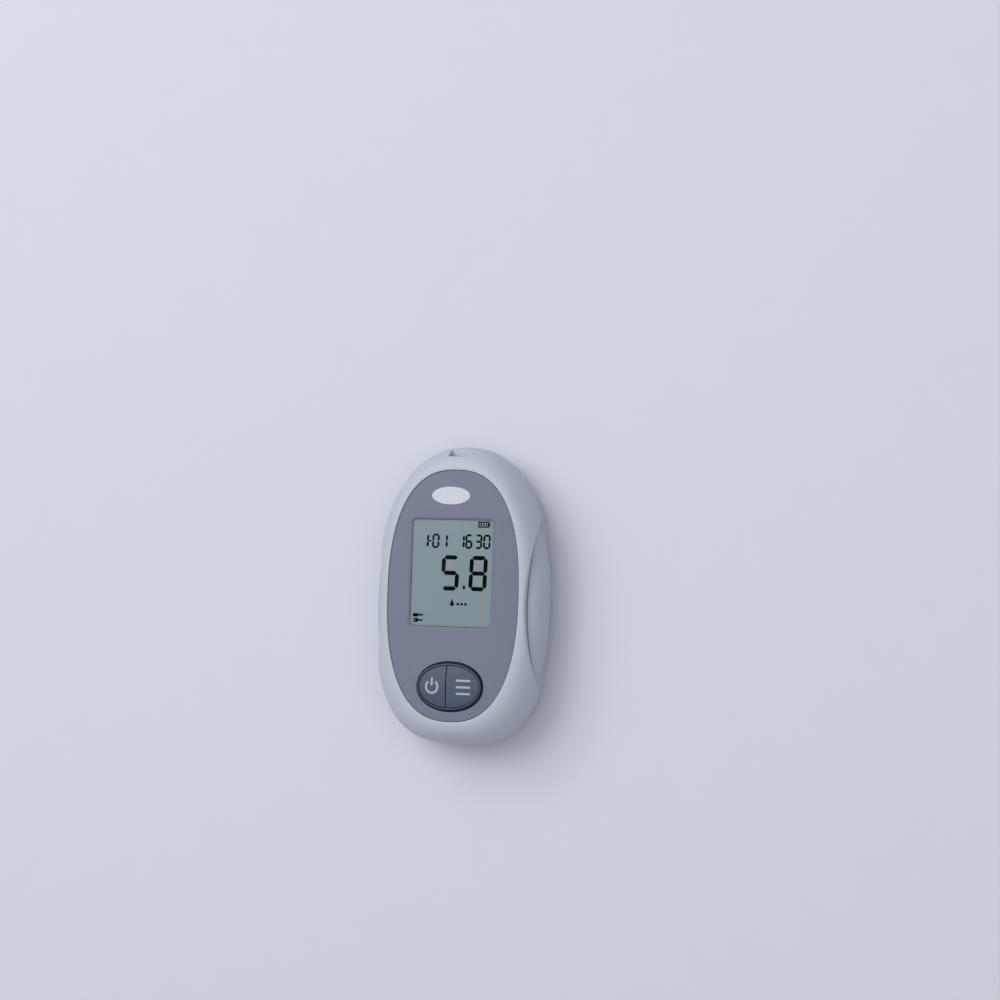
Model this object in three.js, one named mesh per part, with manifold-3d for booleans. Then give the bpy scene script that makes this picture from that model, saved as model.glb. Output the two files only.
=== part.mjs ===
// Blood glucose meter lying on its back, in millimetres.
// +Z points out of the face, +Y towards the strip port, and the origin is the middle of the back.
import * as THREE from 'three';
import { mergeVertices } from 'three/addons/utils/BufferGeometryUtils.js';
import Module from 'manifold-3d';

const wasm = await Module();
wasm.setup();

// Body: two egg-shaped shells that meet at the widest level
const bodyLength = 96;
const bodyWidth = 58.4;
const partingHeight = 10.8;
const backEndInset = 6;
const backSideInset = 6.2;
const topEndPower = 2.18;
const bottomEndPower = 2.92;
const shellWall = 1.8;
const backWall = 1.8;
const shoulderInset = 0.9;
const seamBevel = 0.25;
const lipHeight = 1.2;
const lipWall = 0.8;
const lipGripGap = 1.5;
const bodySegments = 60;

// Clearances and the overrun of every cut
const fitGap = 0.3;
const slideGap = 0.3;
const overrun = 5;

// Face panel, let into the front shell
const panelEndInset = 7.55;
const panelSideInset = 6.85;
const panelPower = 2.44;
const panelThickness = 1.2;
const panelDrop = 0.25;
const panelGap = 0.25;
const rimLand = 0.35;
const frontWall = 1.6;

// Display window, its stepped lens and the display under it
const windowSideInset = 15.25;
const windowTopInset = 23.85;
const windowBottomInset = 37.65;
const windowX = -0.6;
const windowCorner = 1.4;
const lensEdgeGap = 0.25;
const lensDrop = 0.2;
const lensFlangeReach = 1.4;
const lensFlangeThickness = 0.9;
const apertureMargin = 0.35;
const displayOverlap = 1.6;
const displayThickness = 2.2;
const displayRoom = 3.95;
const holderWall = 1.3;
const holderHeadroom = 1.05;
const connectorStripWidth = 1.8;
const connectorStripInset = 1.6;
const connectorStripEdge = 0.5;

// Keys: two halves of one oval inside a raised bezel
const keyEdgeInset = 3.05;
const keyOvalWidth = 20.5;
const keyOvalLength = 13.5;
const keyPower = 2.06;
const keySplitX = -0.9;
const keySplitGap = 0.35;
const keyEdgeRise = 0.75;
const keyCrown = 0.75;
const keyRoundness = 0.35;
const keyFlangeReach = 0.9;
const keyFlangeThickness = 1;
const keyTravel = 0.8;
const keyRoof = 2;
const bezelRise = 1;
const bezelSideWall = 0.6;
const bezelEndWall = 0.95;
const bezelRound = 0.25;
const keySegments = 48;

// Switch under each key
const switchSize = 4.5;
const switchHeight = 3;
const switchFloor = 0.5;
const stemRadius = 1.1;
const keyPocketSideGap = 0.45;
const keyPocketEndGap = 0.95;

// Strip port at the top end
const notchWidth = 9.2;
const notchDepth = 3.5;
const slotWidth = 7.2;
const slotHeight = 1.3;
const sleeveWidth = 12;
const sleeveDepth = 2.7;
const sleeveWall = 1.1;
const sleeveGap = 0.1;
const portWidth = 12.4;
const portRoof = 0.5;
const portEndWall = 2.5;
const portHolderGap = 2.15;
const contactWidth = 1;
const contactSpacing = 2.2;
const contactThickness = 0.25;
const contactArch = 0.45;
const contactSetback = 1;
const contactEndGap = 1.5;

// Side grips: each covers a lens-shaped patch of the body
const gripTopInset = 22.1;
const gripBottomInset = 18.7;
const gripLensPower = 1.85;
const gripMiddleSlope = -3;
const gripUpperSpan = 71;
const gripLowerSpan = 40;
const gripMiddleDrop = 0.4;
const gripEdgeDrop = 1.5;
const gripCrownPower = 2;
const gripDepth = 2.5;
const gripBackerWall = 1.2;
const gripRings = 5;
const gripSpokes = 32;
const backerRings = 3;
const backerSpokes = 24;

// Battery cells, their springs and contact plates
const cellDiameter = 10.5;
const cellLength = 44.5;
const cellNubDiameter = 3.8;
const cellNubLength = 1;
const cellEdge = 0.5;
const cellSegments = 28;
const springLength = 5.7;
const springWire = 0.6;
const springBaseDiameter = 7.2;
const springTipDiameter = 5.2;
const springTurns = 3.5;
const plateThickness = 0.4;
const plateMargin = 0.5;
const plateTabWidth = 2;
const trayEndInset = 10;
const trayWall = 1.3;
const trayRoof = 0.8;
const trayEndWall = 5.5;

// Battery door on straight rails
const doorInset = 0.1;
const doorThickness = 1.6;
const doorInnerLap = 0.3;
const tongueReach = 1.4;
const tongueThickness = 0.7;
const railWall = 0.9;
const railCover = 1.6;
const ridgeCount = 5;
const ridgePitch = 2.2;
const ridgeWidth = 1;
const ridgeLength = 13;
const ridgeDepth = 0.45;
const ridgeEndInset = 10;

// Circuit board and what is soldered to it
const boardGap = 0.2;
const boardThickness = 1.2;
const boardSideInset = 6.2;
const boardEndInset = 6;
const buzzerDiameter = 7.6;
const buzzerGap = 0.45;
const buzzerHole = 1.4;
const buzzerOffset = 4.6;
const chipSize = 7;
const chipHeight = 0.9;
const chipOffset = 4.2;
const chipCorner = 0.4;

// Case screws
const screwRadius = 1.05;
const screwRoof = 2.05;
const screwSeat = 6;
const screwHeadRadius = 2;
const screwHeadHeight = 1.4;
const screwHeadRound = 0.4;
const screwDriveLength = 2.4;
const screwDriveWidth = 0.6;
const screwDriveDepth = 0.7;
const bossRadius = 2.5;
const rearBossRadius = 3.1;
const bossPortGap = 1.8;
const bossTopInset = 13;
const bossRailOffset = 2.75;
const bossBottomInset = 17;
const roundSegments = 24;
const screwSegments = 16;

// Bare plate on the battery door
const labelWidth = 16;
const labelLength = 11;
const labelEndInset = 6;
const labelThickness = 0.25;
const labelInset = 0.1;
const labelCorner = 1.5;

// Sizes and places that follow
const half = (size) => size / 2;
const bodyEnd = half(bodyLength);
const backLength = bodyLength - 2 * backEndInset;
const backWidth = bodyWidth - 2 * backSideInset;
const panelLength = bodyLength - 2 * panelEndInset;
const panelWidth = bodyWidth - 2 * panelSideInset;
const windowWidth = bodyWidth - 2 * windowSideInset;
const windowLength = bodyLength - windowTopInset - windowBottomInset;
const windowY = half(windowBottomInset - windowTopInset);
const gripLength = bodyLength - gripTopInset - gripBottomInset;
const gripY = half(gripBottomInset - gripTopInset);
const doorTop = doorInset + doorThickness;
const cellBottom = doorTop + fitGap;
const trayCeiling = cellBottom + cellDiameter + fitGap;
const trayTop = trayCeiling + trayRoof;
const boardBottom = trayTop + boardGap;
const boardTop = boardBottom + boardThickness;
const ceiling = boardTop + displayRoom;
const displayBottom = ceiling - displayThickness;
const seatHeight = ceiling + frontWall;
const panelTop = seatHeight + panelThickness;
const bodyHeight = panelTop + panelDrop;
const trayHalfWidth = cellDiameter + 1.5 * fitGap;
const trayNear = trayEndInset - bodyEnd;
const trayFar = trayNear + cellLength + springLength + 2 * plateThickness;
const doorFar = trayFar + doorInnerLap;
const cellX = half(cellDiameter + fitGap);
const grooveHalfWidth = trayHalfWidth + tongueReach;
const railHalfWidth = grooveHalfWidth + railWall;
const notchWallY = bodyEnd - notchDepth;
const notchFloor = boardTop + sleeveGap + sleeveWall;
const screwTip = seatHeight - screwRoof - fitGap;
const bossTopX = half(portWidth) + bossPortGap + bossRadius;
const bossTopY = bodyEnd - bossTopInset;
const bossBottomX = railHalfWidth + bossRailOffset;
const bossBottomY = bossBottomInset - bodyEnd;
const keyY = keyEdgeInset + half(keyOvalLength) + fitGap + bezelEndWall - half(panelLength);
const switchX = (side) => half(keySplitX + side * half(keyOvalWidth));
const stemEngagement = switchHeight - switchFloor - fitGap - keyTravel;
const screwPlaces = [
  [bossTopX, bossTopY],
  [-bossTopX, bossTopY],
  [bossBottomX, bossBottomY],
  [-bossBottomX, bossBottomY],
];

const degrees = Math.PI / 180;
const mix = (from, to, share) => from + (to - from) * share;
const signedPower = (value, power) => Math.sign(value) * Math.abs(value) ** power;

// Solids: a closed geometry becomes a solid that can be joined and cut
const mergeTolerance = 1e-4;

function toSolid(geometry) {
  const bare = geometry.clone();
  bare.deleteAttribute('normal');
  bare.deleteAttribute('uv');
  const merged = mergeVertices(bare, mergeTolerance);
  const corners = merged.index.array;
  const kept = [];
  for (let i = 0; i < corners.length; i += 3) {
    const [a, b, c] = [corners[i], corners[i + 1], corners[i + 2]];
    if (a !== b && b !== c && c !== a) kept.push(a, b, c);
  }
  return new wasm.Manifold(new wasm.Mesh({
    numProp: 3,
    vertProperties: new Float32Array(merged.attributes.position.array),
    triVerts: new Uint32Array(kept),
  }));
}

function toGeometry(solid) {
  const mesh = solid.getMesh();
  const geometry = new THREE.BufferGeometry();
  geometry.setAttribute('position', new THREE.BufferAttribute(mesh.vertProperties, 3));
  geometry.setIndex(new THREE.BufferAttribute(mesh.triVerts, 1));
  geometry.computeVertexNormals();
  return geometry;
}

const joined = (solids) => solids.reduce((all, next) => all.add(next));
const cut = (solid, tools) => tools.reduce((rest, tool) => rest.subtract(tool), solid);

function box(low, high) {
  const size = high.map((value, i) => value - low[i]);
  const geometry = new THREE.BoxGeometry(...size);
  geometry.translate(...low.map((value, i) => value + half(size[i])));
  return toSolid(geometry);
}

function cylinder(radius, bottom, top, x = 0, y = 0, segments = roundSegments) {
  const geometry = new THREE.CylinderGeometry(radius, radius, top - bottom, segments);
  geometry.rotateX(Math.PI / 2);
  geometry.translate(x, y, half(bottom + top));
  return toSolid(geometry);
}

function prism(points, bottom, top) {
  const shape = new THREE.Shape(points);
  const geometry = new THREE.ExtrudeGeometry(shape, { depth: top - bottom, bevelEnabled: false });
  geometry.translate(0, 0, bottom);
  return toSolid(geometry);
}

function roundedRectangle(width, length, corner, centreX, centreY, steps = 5) {
  const points = [];
  const turns = [[1, 1], [-1, 1], [-1, -1], [1, -1]];
  turns.forEach(([signX, signY], quarter) => {
    for (let i = 0; i <= steps; i += 1) {
      const angle = (quarter + i / steps) * Math.PI / 2;
      points.push(new THREE.Vector2(
        centreX + signX * (half(width) - corner) + corner * Math.cos(angle),
        centreY + signY * (half(length) - corner) + corner * Math.sin(angle),
      ));
    }
  });
  return points;
}

function ovalPoints(width, length, power, centreY, segments) {
  const points = [];
  for (let i = 0; i < segments; i += 1) {
    const angle = 2 * Math.PI * i / segments;
    points.push(new THREE.Vector2(
      half(width) * signedPower(Math.cos(angle), 2 / power),
      centreY + half(length) * signedPower(Math.sin(angle), 2 / power),
    ));
  }
  return points;
}

// A closed skin through rings of points that lie one above the other
function loft(rings) {
  const count = rings[0].length;
  const positions = rings.flat().flatMap((point) => [point.x, point.y, point.z]);
  const faces = [];
  for (let level = 0; level + 1 < rings.length; level += 1) {
    for (let i = 0; i < count; i += 1) {
      const next = (i + 1) % count;
      const [a, b] = [level * count + i, level * count + next];
      const [c, d] = [a + count, b + count];
      faces.push(a, b, d, a, d, c);
    }
  }
  for (const [ring, offset, up] of [[rings[0], 0, false], [rings.at(-1), (rings.length - 1) * count, true]]) {
    const middle = ring.reduce((sum, point) => sum.add(point), new THREE.Vector3()).divideScalar(count);
    const centre = positions.length / 3;
    positions.push(middle.x, middle.y, middle.z);
    for (let i = 0; i < count; i += 1) {
      const next = (i + 1) % count;
      if (up) faces.push(centre, offset + i, offset + next);
      else faces.push(centre, offset + next, offset + i);
    }
  }
  const geometry = new THREE.BufferGeometry();
  geometry.setAttribute('position', new THREE.Float32BufferAttribute(positions, 3));
  geometry.setIndex(faces);
  return geometry;
}

// Body surface: slope 90 is the face, 0 the widest level and -90 the back
const pocketWidth = panelWidth + 2 * panelGap;
const pocketLength = panelLength + 2 * panelGap;
const outerForm = {
  middle: { width: bodyWidth, length: bodyLength },
  face: { width: pocketWidth + 2 * rimLand, length: pocketLength + 2 * rimLand },
  back: { width: backWidth, length: backLength },
  top: bodyHeight,
  bottom: 0,
};
const innerForm = {
  middle: { width: bodyWidth - 2 * shellWall, length: bodyLength - 2 * shellWall },
  face: { width: outerForm.face.width - 2 * shoulderInset, length: outerForm.face.length - 2 * shoulderInset },
  back: { width: backWidth - 2 * shoulderInset, length: backLength - 2 * shoulderInset },
  top: ceiling,
  bottom: backWall,
};

const clearForm = {
  ...innerForm,
  middle: { width: innerForm.middle.width - 2 * fitGap, length: innerForm.middle.length - 2 * fitGap },
  face: { width: innerForm.face.width - 2 * fitGap, length: innerForm.face.length - 2 * fitGap },
};

function bodyLevel(form, slope) {
  const rise = Math.sin(slope * degrees);
  const spread = Math.cos(slope * degrees);
  const end = rise >= 0 ? form.face : form.back;
  const reach = rise >= 0 ? form.top - partingHeight : partingHeight - form.bottom;
  return {
    z: partingHeight + rise * reach,
    halfWidth: half(mix(end.width, form.middle.width, spread)),
    halfLength: half(mix(end.length, form.middle.length, spread)),
    topPower: rise >= 0 ? mix(panelPower, topEndPower, spread) : topEndPower,
    bottomPower: rise >= 0 ? mix(panelPower, bottomEndPower, spread) : bottomEndPower,
  };
}

function bodyRing(form, slope, inset = 0, z = null) {
  const level = bodyLevel(form, slope);
  const ring = [];
  for (let i = 0; i < bodySegments; i += 1) {
    const angle = 2 * Math.PI * i / bodySegments;
    const power = Math.sin(angle) >= 0 ? level.topPower : level.bottomPower;
    ring.push(new THREE.Vector3(
      (level.halfWidth - inset) * signedPower(Math.cos(angle), 2 / power),
      (level.halfLength - inset) * signedPower(Math.sin(angle), 2 / power),
      z ?? level.z,
    ));
  }
  return ring;
}

const frontSlopeShares = [0.16, 0.32, 0.47, 0.61, 0.75, 0.88, 1];
const rearSlopeShares = [0.2, 0.4, 0.6, 0.8, 1];
const steepest = 90;

function frontSkin(form, runsOn = true) {
  const rings = frontSlopeShares.map((share) => bodyRing(form, steepest * share));
  const start = runsOn
    ? [bodyRing(form, 0, 0, partingHeight - overrun), bodyRing(form, 0)]
    : [bodyRing(form, 0, seamBevel), bodyRing(form, 0, 0, partingHeight + seamBevel)];
  return toSolid(loft([...start, ...rings]));
}

function rearSkin(form, runsOn = true) {
  const rings = rearSlopeShares.map((share) => bodyRing(form, -steepest * share)).reverse();
  const end = runsOn
    ? [bodyRing(form, 0), bodyRing(form, 0, 0, partingHeight + overrun)]
    : [bodyRing(form, 0, 0, partingHeight - seamBevel), bodyRing(form, 0, seamBevel)];
  return toSolid(loft([...rings, ...end]));
}

// Grip patches: a lens on the body surface, pushed out or in along the surface normal
function bodyPoint(side, y, slope) {
  const level = bodyLevel(outerForm, slope);
  const power = y >= 0 ? level.topPower : level.bottomPower;
  const share = Math.min(Math.abs(y) / level.halfLength, 1);
  return new THREE.Vector3(side * level.halfWidth * (1 - share ** power) ** (1 / power), y, level.z);
}

const normalStep = 0.05;

function bodyNormal(side, y, slope) {
  const along = bodyPoint(side, y + normalStep, slope).sub(bodyPoint(side, y - normalStep, slope));
  const up = bodyPoint(side, y, slope + normalStep).sub(bodyPoint(side, y, slope - normalStep));
  const normal = along.cross(up).normalize();
  return normal.multiplyScalar(Math.sign(normal.x) * side);
}

function gripPatch(side, growth, outerOffset, innerOffset, ringCount, spokeCount) {
  const growthAngle = growth / half(bodyWidth - outerForm.face.width) / degrees;
  const positions = [];
  const faces = [];
  const place = (ring, spoke, offsetAt) => {
    const rho = ring / ringCount;
    const angle = 2 * Math.PI * spoke / spokeCount;
    const span = (Math.sin(angle) >= 0 ? gripUpperSpan : gripLowerSpan) + growthAngle;
    const y = gripY + (half(gripLength) + growth) * rho * signedPower(Math.cos(angle), 2 / gripLensPower);
    const slope = gripMiddleSlope + span * rho * signedPower(Math.sin(angle), 2 / gripLensPower);
    const point = bodyPoint(side, y, slope).addScaledVector(bodyNormal(side, y, slope), offsetAt(rho));
    positions.push(point.x, point.y, point.z);
  };
  for (const offsetAt of [outerOffset, innerOffset]) {
    place(0, 0, offsetAt);
    for (let ring = 1; ring <= ringCount; ring += 1) {
      for (let spoke = 0; spoke < spokeCount; spoke += 1) place(ring, spoke, offsetAt);
    }
  }
  const sheet = 1 + ringCount * spokeCount;
  const face = (a, b, c, flip) => faces.push(...(flip ? [a, c, b] : [a, b, c]));
  for (let layer = 0; layer < 2; layer += 1) {
    const flip = (layer === 1) !== (side < 0);
    const base = layer * sheet;
    for (let spoke = 0; spoke < spokeCount; spoke += 1) {
      const next = (spoke + 1) % spokeCount;
      face(base, base + 1 + spoke, base + 1 + next, flip);
      for (let ring = 1; ring < ringCount; ring += 1) {
        const [a, b] = [base + 1 + (ring - 1) * spokeCount + spoke, base + 1 + (ring - 1) * spokeCount + next];
        face(a, a + spokeCount, b + spokeCount, flip);
        face(a, b + spokeCount, b, flip);
      }
    }
  }
  for (let spoke = 0; spoke < spokeCount; spoke += 1) {
    const next = (spoke + 1) % spokeCount;
    const rim = 1 + (ringCount - 1) * spokeCount;
    const [a, b] = [rim + spoke, rim + next];
    face(a, a + sheet, b + sheet, side < 0);
    face(a, b + sheet, b, side < 0);
  }
  const geometry = new THREE.BufferGeometry();
  geometry.setAttribute('position', new THREE.Float32BufferAttribute(positions, 3));
  geometry.setIndex(faces);
  return toSolid(geometry);
}

const gripSurface = (rho) => -mix(gripMiddleDrop, gripEdgeDrop, rho ** gripCrownPower);
const pocketFloor = -gripDepth - fitGap;
const backerFloor = pocketFloor - gripBackerWall;
const gripBody = (side) => gripPatch(side, 0, gripSurface, () => -gripDepth, gripRings, gripSpokes);
const gripPocket = (side) => gripPatch(side, fitGap, () => overrun, () => pocketFloor, gripRings, gripSpokes);
const gripBacker = (side) => gripPatch(
  side,
  gripBackerWall,
  () => overrun,
  () => backerFloor,
  backerRings,
  backerSpokes,
);
const sides = [-1, 1];

// Shells
function frontShell() {
  const outside = frontSkin(outerForm, false);
  const portSleeve = box(
    [-half(sleeveWidth), notchWallY - sleeveDepth, notchFloor - sleeveWall],
    [half(sleeveWidth), bodyLength, notchFloor + slotHeight + sleeveWall],
  ).intersect(outside);
  const backers = sides.map((side) => gripBacker(side).intersect(outside));
  const bosses = screwPlaces.map(([x, y]) => cylinder(bossRadius, boardTop, seatHeight, x, y).intersect(outside));
  const walls = joined([outside.subtract(frontSkin(innerForm)), portSleeve, ...backers, ...bosses]);
  const lensPocket = roundedRectangle(
    windowWidth + 2 * (lensFlangeReach + fitGap),
    windowLength + 2 * (lensFlangeReach + fitGap),
    windowCorner + fitGap,
    windowX,
    windowY,
  );
  const aperture = roundedRectangle(
    windowWidth + 2 * apertureMargin,
    windowLength + 2 * apertureMargin,
    windowCorner,
    windowX,
    windowY,
  );
  const facePocket = ovalPoints(pocketWidth, pocketLength, panelPower, 0, bodySegments);
  const keyHole = keyOpeningPoints();
  return cut(walls, [
    prism(facePocket, seatHeight, bodyHeight + overrun),
    prism(lensPocket, seatHeight - lensFlangeThickness, bodyHeight),
    prism(aperture, ceiling - overrun, bodyHeight),
    prism(keyHole, ceiling - overrun, bodyHeight),
    ...sides.map(gripPocket),
    ...screwPlaces.map(([x, y]) => cylinder(screwRadius + fitGap, boardTop - overrun, screwTip + fitGap, x, y)),
    box([-half(notchWidth), notchWallY, notchFloor], [half(notchWidth), bodyLength, bodyHeight + overrun]),
    box(
      [-half(slotWidth), notchWallY - sleeveDepth - overrun, notchFloor],
      [half(slotWidth), bodyLength, notchFloor + slotHeight],
    ),
  ]);
}

function shellLip() {
  const lipForm = (inset) => [
    bodyRing(innerForm, 0, inset, partingHeight - 2 * lipHeight),
    bodyRing(innerForm, 0, inset, partingHeight + lipHeight),
  ];
  const root = [
    bodyRing(innerForm, 0, -half(shellWall), partingHeight - 2 * lipHeight),
    bodyRing(innerForm, 0, -half(shellWall), partingHeight - seamBevel - fitGap),
  ];
  const inside = toSolid(loft([
    bodyRing(innerForm, 0, fitGap + lipWall, -overrun),
    bodyRing(innerForm, 0, fitGap + lipWall, bodyHeight + overrun),
  ]));
  const reach = Math.abs(gripY) + half(gripLength) + gripBackerWall + lipGripGap;
  const ends = [
    box([-bodyWidth, reach, 0], [bodyWidth, bodyLength, bodyHeight]),
    box([-bodyWidth, -bodyLength, 0], [bodyWidth, -reach, bodyHeight]),
  ];
  return joined([toSolid(loft(lipForm(fitGap))), toSolid(loft(root))]).subtract(inside).intersect(joined(ends));
}

function doorSlot() {
  const [near, far] = [-bodyLength, doorFar + fitGap];
  return joined([
    box([-trayHalfWidth, near, -overrun], [trayHalfWidth, far, doorTop + slideGap]),
    box([-grooveHalfWidth, near, doorTop - tongueThickness - slideGap], [grooveHalfWidth, far, doorTop + slideGap]),
  ]);
}

function rearShell() {
  const outside = rearSkin(outerForm, false);
  const envelope = outside.add(frontSkin(clearForm));
  const backers = sides.map((side) => gripBacker(side).intersect(outside));
  const bosses = screwPlaces.flatMap(([x, y]) => [
    cylinder(rearBossRadius, half(backWall), partingHeight, x, y),
    cylinder(bossRadius, half(backWall), boardBottom, x, y),
  ]);
  const tray = box(
    [-trayHalfWidth - trayWall, trayNear - trayWall, half(backWall)],
    [trayHalfWidth + trayWall, trayFar + trayWall, trayTop],
  );
  const rails = box(
    [-railHalfWidth, trayNear - trayEndWall, half(backWall)],
    [railHalfWidth, trayFar + trayWall, doorTop + slideGap + railCover],
  );
  const hollow = outside.subtract(rearSkin(innerForm));
  const fittings = joined([tray, rails, ...bosses]).intersect(envelope);
  const walls = joined([hollow, shellLip(), fittings, ...backers]);
  const tabSlot = (x) => box(
    [x - half(plateTabWidth) - fitGap, trayFar - plateThickness - fitGap, trayCeiling - fitGap],
    [x + half(plateTabWidth) + fitGap, trayFar + fitGap, trayTop + overrun],
  );
  return cut(walls, [
    box([-trayHalfWidth, trayNear, -overrun], [trayHalfWidth, trayFar, trayCeiling]),
    doorSlot(),
    ...sides.map(gripPocket),
    ...sides.map((side) => tabSlot(side * cellX)),
    ...screwPlaces.map(([x, y]) => cylinder(screwHeadRadius + fitGap, -overrun, screwSeat, x, y)),
    ...screwPlaces.map(([x, y]) => cylinder(screwRadius + fitGap, -overrun, boardTop, x, y)),
  ]);
}

// Face
function keyOpeningPoints(grow = 0, growLength = 0) {
  return ovalPoints(
    keyOvalWidth + 2 * (fitGap + grow),
    keyOvalLength + 2 * (fitGap + growLength),
    keyPower,
    keyY,
    keySegments,
  );
}

function facePanel() {
  const outline = ovalPoints(panelWidth, panelLength, panelPower, 0, bodySegments);
  const windowHole = roundedRectangle(windowWidth, windowLength, windowCorner, windowX, windowY);
  const keyHole = keyOpeningPoints(bezelSideWall + fitGap, bezelEndWall + fitGap);
  return cut(prism(outline, seatHeight, panelTop), [
    prism(windowHole, seatHeight - overrun, panelTop + overrun),
    prism(keyHole, seatHeight - overrun, panelTop + overrun),
  ]);
}

function displayLens() {
  const flange = roundedRectangle(
    windowWidth + 2 * lensFlangeReach,
    windowLength + 2 * lensFlangeReach,
    windowCorner,
    windowX,
    windowY,
  );
  const plateau = roundedRectangle(
    windowWidth - 2 * lensEdgeGap,
    windowLength - 2 * lensEdgeGap,
    windowCorner - lensEdgeGap,
    windowX,
    windowY,
  );
  return joined([
    prism(flange, seatHeight - lensFlangeThickness, seatHeight),
    prism(plateau, seatHeight - half(lensFlangeThickness), panelTop - lensDrop),
  ]);
}

// Display stack between the front wall and the board
const displayWidth = windowWidth + 2 * displayOverlap;
const displayLength = windowLength + 2 * displayOverlap;
const holderInnerWidth = displayWidth + 2 * fitGap;
const holderInnerLength = displayLength + 2 * fitGap;

function displayPlate() {
  return box(
    [windowX - half(displayWidth), windowY - half(displayLength), displayBottom],
    [windowX + half(displayWidth), windowY + half(displayLength), ceiling],
  );
}

function displayHolder() {
  const frame = (width, length, bottom, top) => box(
    [windowX - half(width), windowY - half(length), bottom],
    [windowX + half(width), windowY + half(length), top],
  );
  const top = ceiling - holderHeadroom;
  return frame(
    holderInnerWidth + 2 * holderWall,
    holderInnerLength + 2 * holderWall,
    boardTop,
    top,
  ).subtract(frame(holderInnerWidth, holderInnerLength, boardTop - overrun, top + overrun));
}

function connectorStrip(end) {
  const y = windowY + end * (half(displayLength) - connectorStripEdge - half(connectorStripWidth));
  return box(
    [windowX - half(displayWidth) + connectorStripInset, y - half(connectorStripWidth), boardTop],
    [windowX + half(displayWidth) - connectorStripInset, y + half(connectorStripWidth), displayBottom],
  );
}

// Keys, bezel and switches
const keyRimTop = panelTop + keyEdgeRise;
const keyFlangeTop = ceiling - fitGap;
const keyFlangeBottom = keyFlangeTop - keyFlangeThickness;
const keyPocketTop = keyRimTop - keyRoof;
const keyRingShares = [0.96, 0.82, 0.62, 0.38, 0.16];

function keyOvalRing(grow, z, share = 1) {
  const width = (keyOvalWidth + 2 * grow) * share;
  const length = (keyOvalLength + 2 * grow) * share;
  return ovalPoints(width, length, keyPower, keyY, keySegments).map((point) => new THREE.Vector3(point.x, point.y, z));
}

function keyOval() {
  const rings = [
    keyOvalRing(keyFlangeReach, keyFlangeBottom),
    keyOvalRing(keyFlangeReach, keyFlangeTop),
    keyOvalRing(0, keyFlangeTop),
    keyOvalRing(0, keyRimTop - keyRoundness),
    ...keyRingShares.map((share) => keyOvalRing(0, keyRimTop + keyCrown * (1 - share ** 2), share)),
  ];
  return toSolid(loft(rings));
}

function key(side) {
  const split = keySplitX + side * half(keySplitGap);
  const beyond = split - side * keyOvalWidth;
  const otherHalf = box(
    [Math.min(split, beyond), -bodyLength, 0],
    [Math.max(split, beyond), bodyLength, bodyHeight + overrun],
  );
  const centre = switchX(side);
  const pocket = box(
    [centre - half(switchSize) - keyPocketSideGap, keyY - half(switchSize) - keyPocketEndGap, 0],
    [centre + half(switchSize) + keyPocketSideGap, keyY + half(switchSize) + keyPocketEndGap, keyPocketTop],
  );
  return cut(keyOval(), [otherHalf, pocket]);
}

function keyBezel() {
  const wall = (side, end, z) => ovalPoints(
    keyOvalWidth + 2 * (fitGap + side),
    keyOvalLength + 2 * (fitGap + end),
    keyPower,
    keyY,
    keySegments,
  ).map((point) => new THREE.Vector3(point.x, point.y, z));
  const top = panelTop + bezelRise;
  const outer = toSolid(loft([
    wall(bezelSideWall, bezelEndWall, seatHeight),
    wall(bezelSideWall, bezelEndWall, top - bezelRound),
    wall(bezelSideWall - bezelRound, bezelEndWall - bezelRound, top),
  ]));
  return outer.subtract(prism(keyOpeningPoints(), seatHeight - overrun, top + overrun));
}

function switchBody() {
  const housing = box(
    [-half(switchSize), -half(switchSize), 0],
    [half(switchSize), half(switchSize), switchHeight],
  );
  return housing.subtract(cylinder(stemRadius + fitGap, switchFloor, switchHeight + overrun));
}

const stemBottom = boardTop + switchHeight - stemEngagement;
const switchStem = () => cylinder(stemRadius, 0, keyPocketTop - stemBottom);

// Strip port
const portFront = notchWallY - sleeveDepth - fitGap;
const portBack = windowY + half(holderInnerLength) + holderWall + portHolderGap;
const channelBack = portBack + portEndWall;
const contactLength = portFront - contactSetback - channelBack - contactEndGap;
function stripPort() {
  const housing = box(
    [-half(portWidth), portBack, boardTop],
    [half(portWidth), portFront, notchFloor + slotHeight + portRoof],
  );
  const channel = box(
    [-half(slotWidth), channelBack, notchFloor],
    [half(slotWidth), portFront + overrun, notchFloor + slotHeight],
  );
  return housing.intersect(frontSkin(clearForm)).subtract(channel);
}

function stripContact() {
  const arch = new THREE.Shape();
  const top = contactThickness + contactArch;
  arch.moveTo(0, 0);
  arch.quadraticCurveTo(half(contactLength), 2 * contactArch, contactLength, 0);
  arch.lineTo(contactLength, contactThickness);
  arch.quadraticCurveTo(half(contactLength), contactArch + top, 0, contactThickness);
  const geometry = new THREE.ExtrudeGeometry(arch, { depth: contactWidth, bevelEnabled: false, curveSegments: 8 });
  geometry.translate(0, 0, -half(contactWidth));
  geometry.rotateY(Math.PI / 2);
  geometry.rotateX(Math.PI / 2);
  return toSolid(geometry);
}

// Battery compartment
const labelY = doorFar - labelEndInset - half(labelLength);

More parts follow.
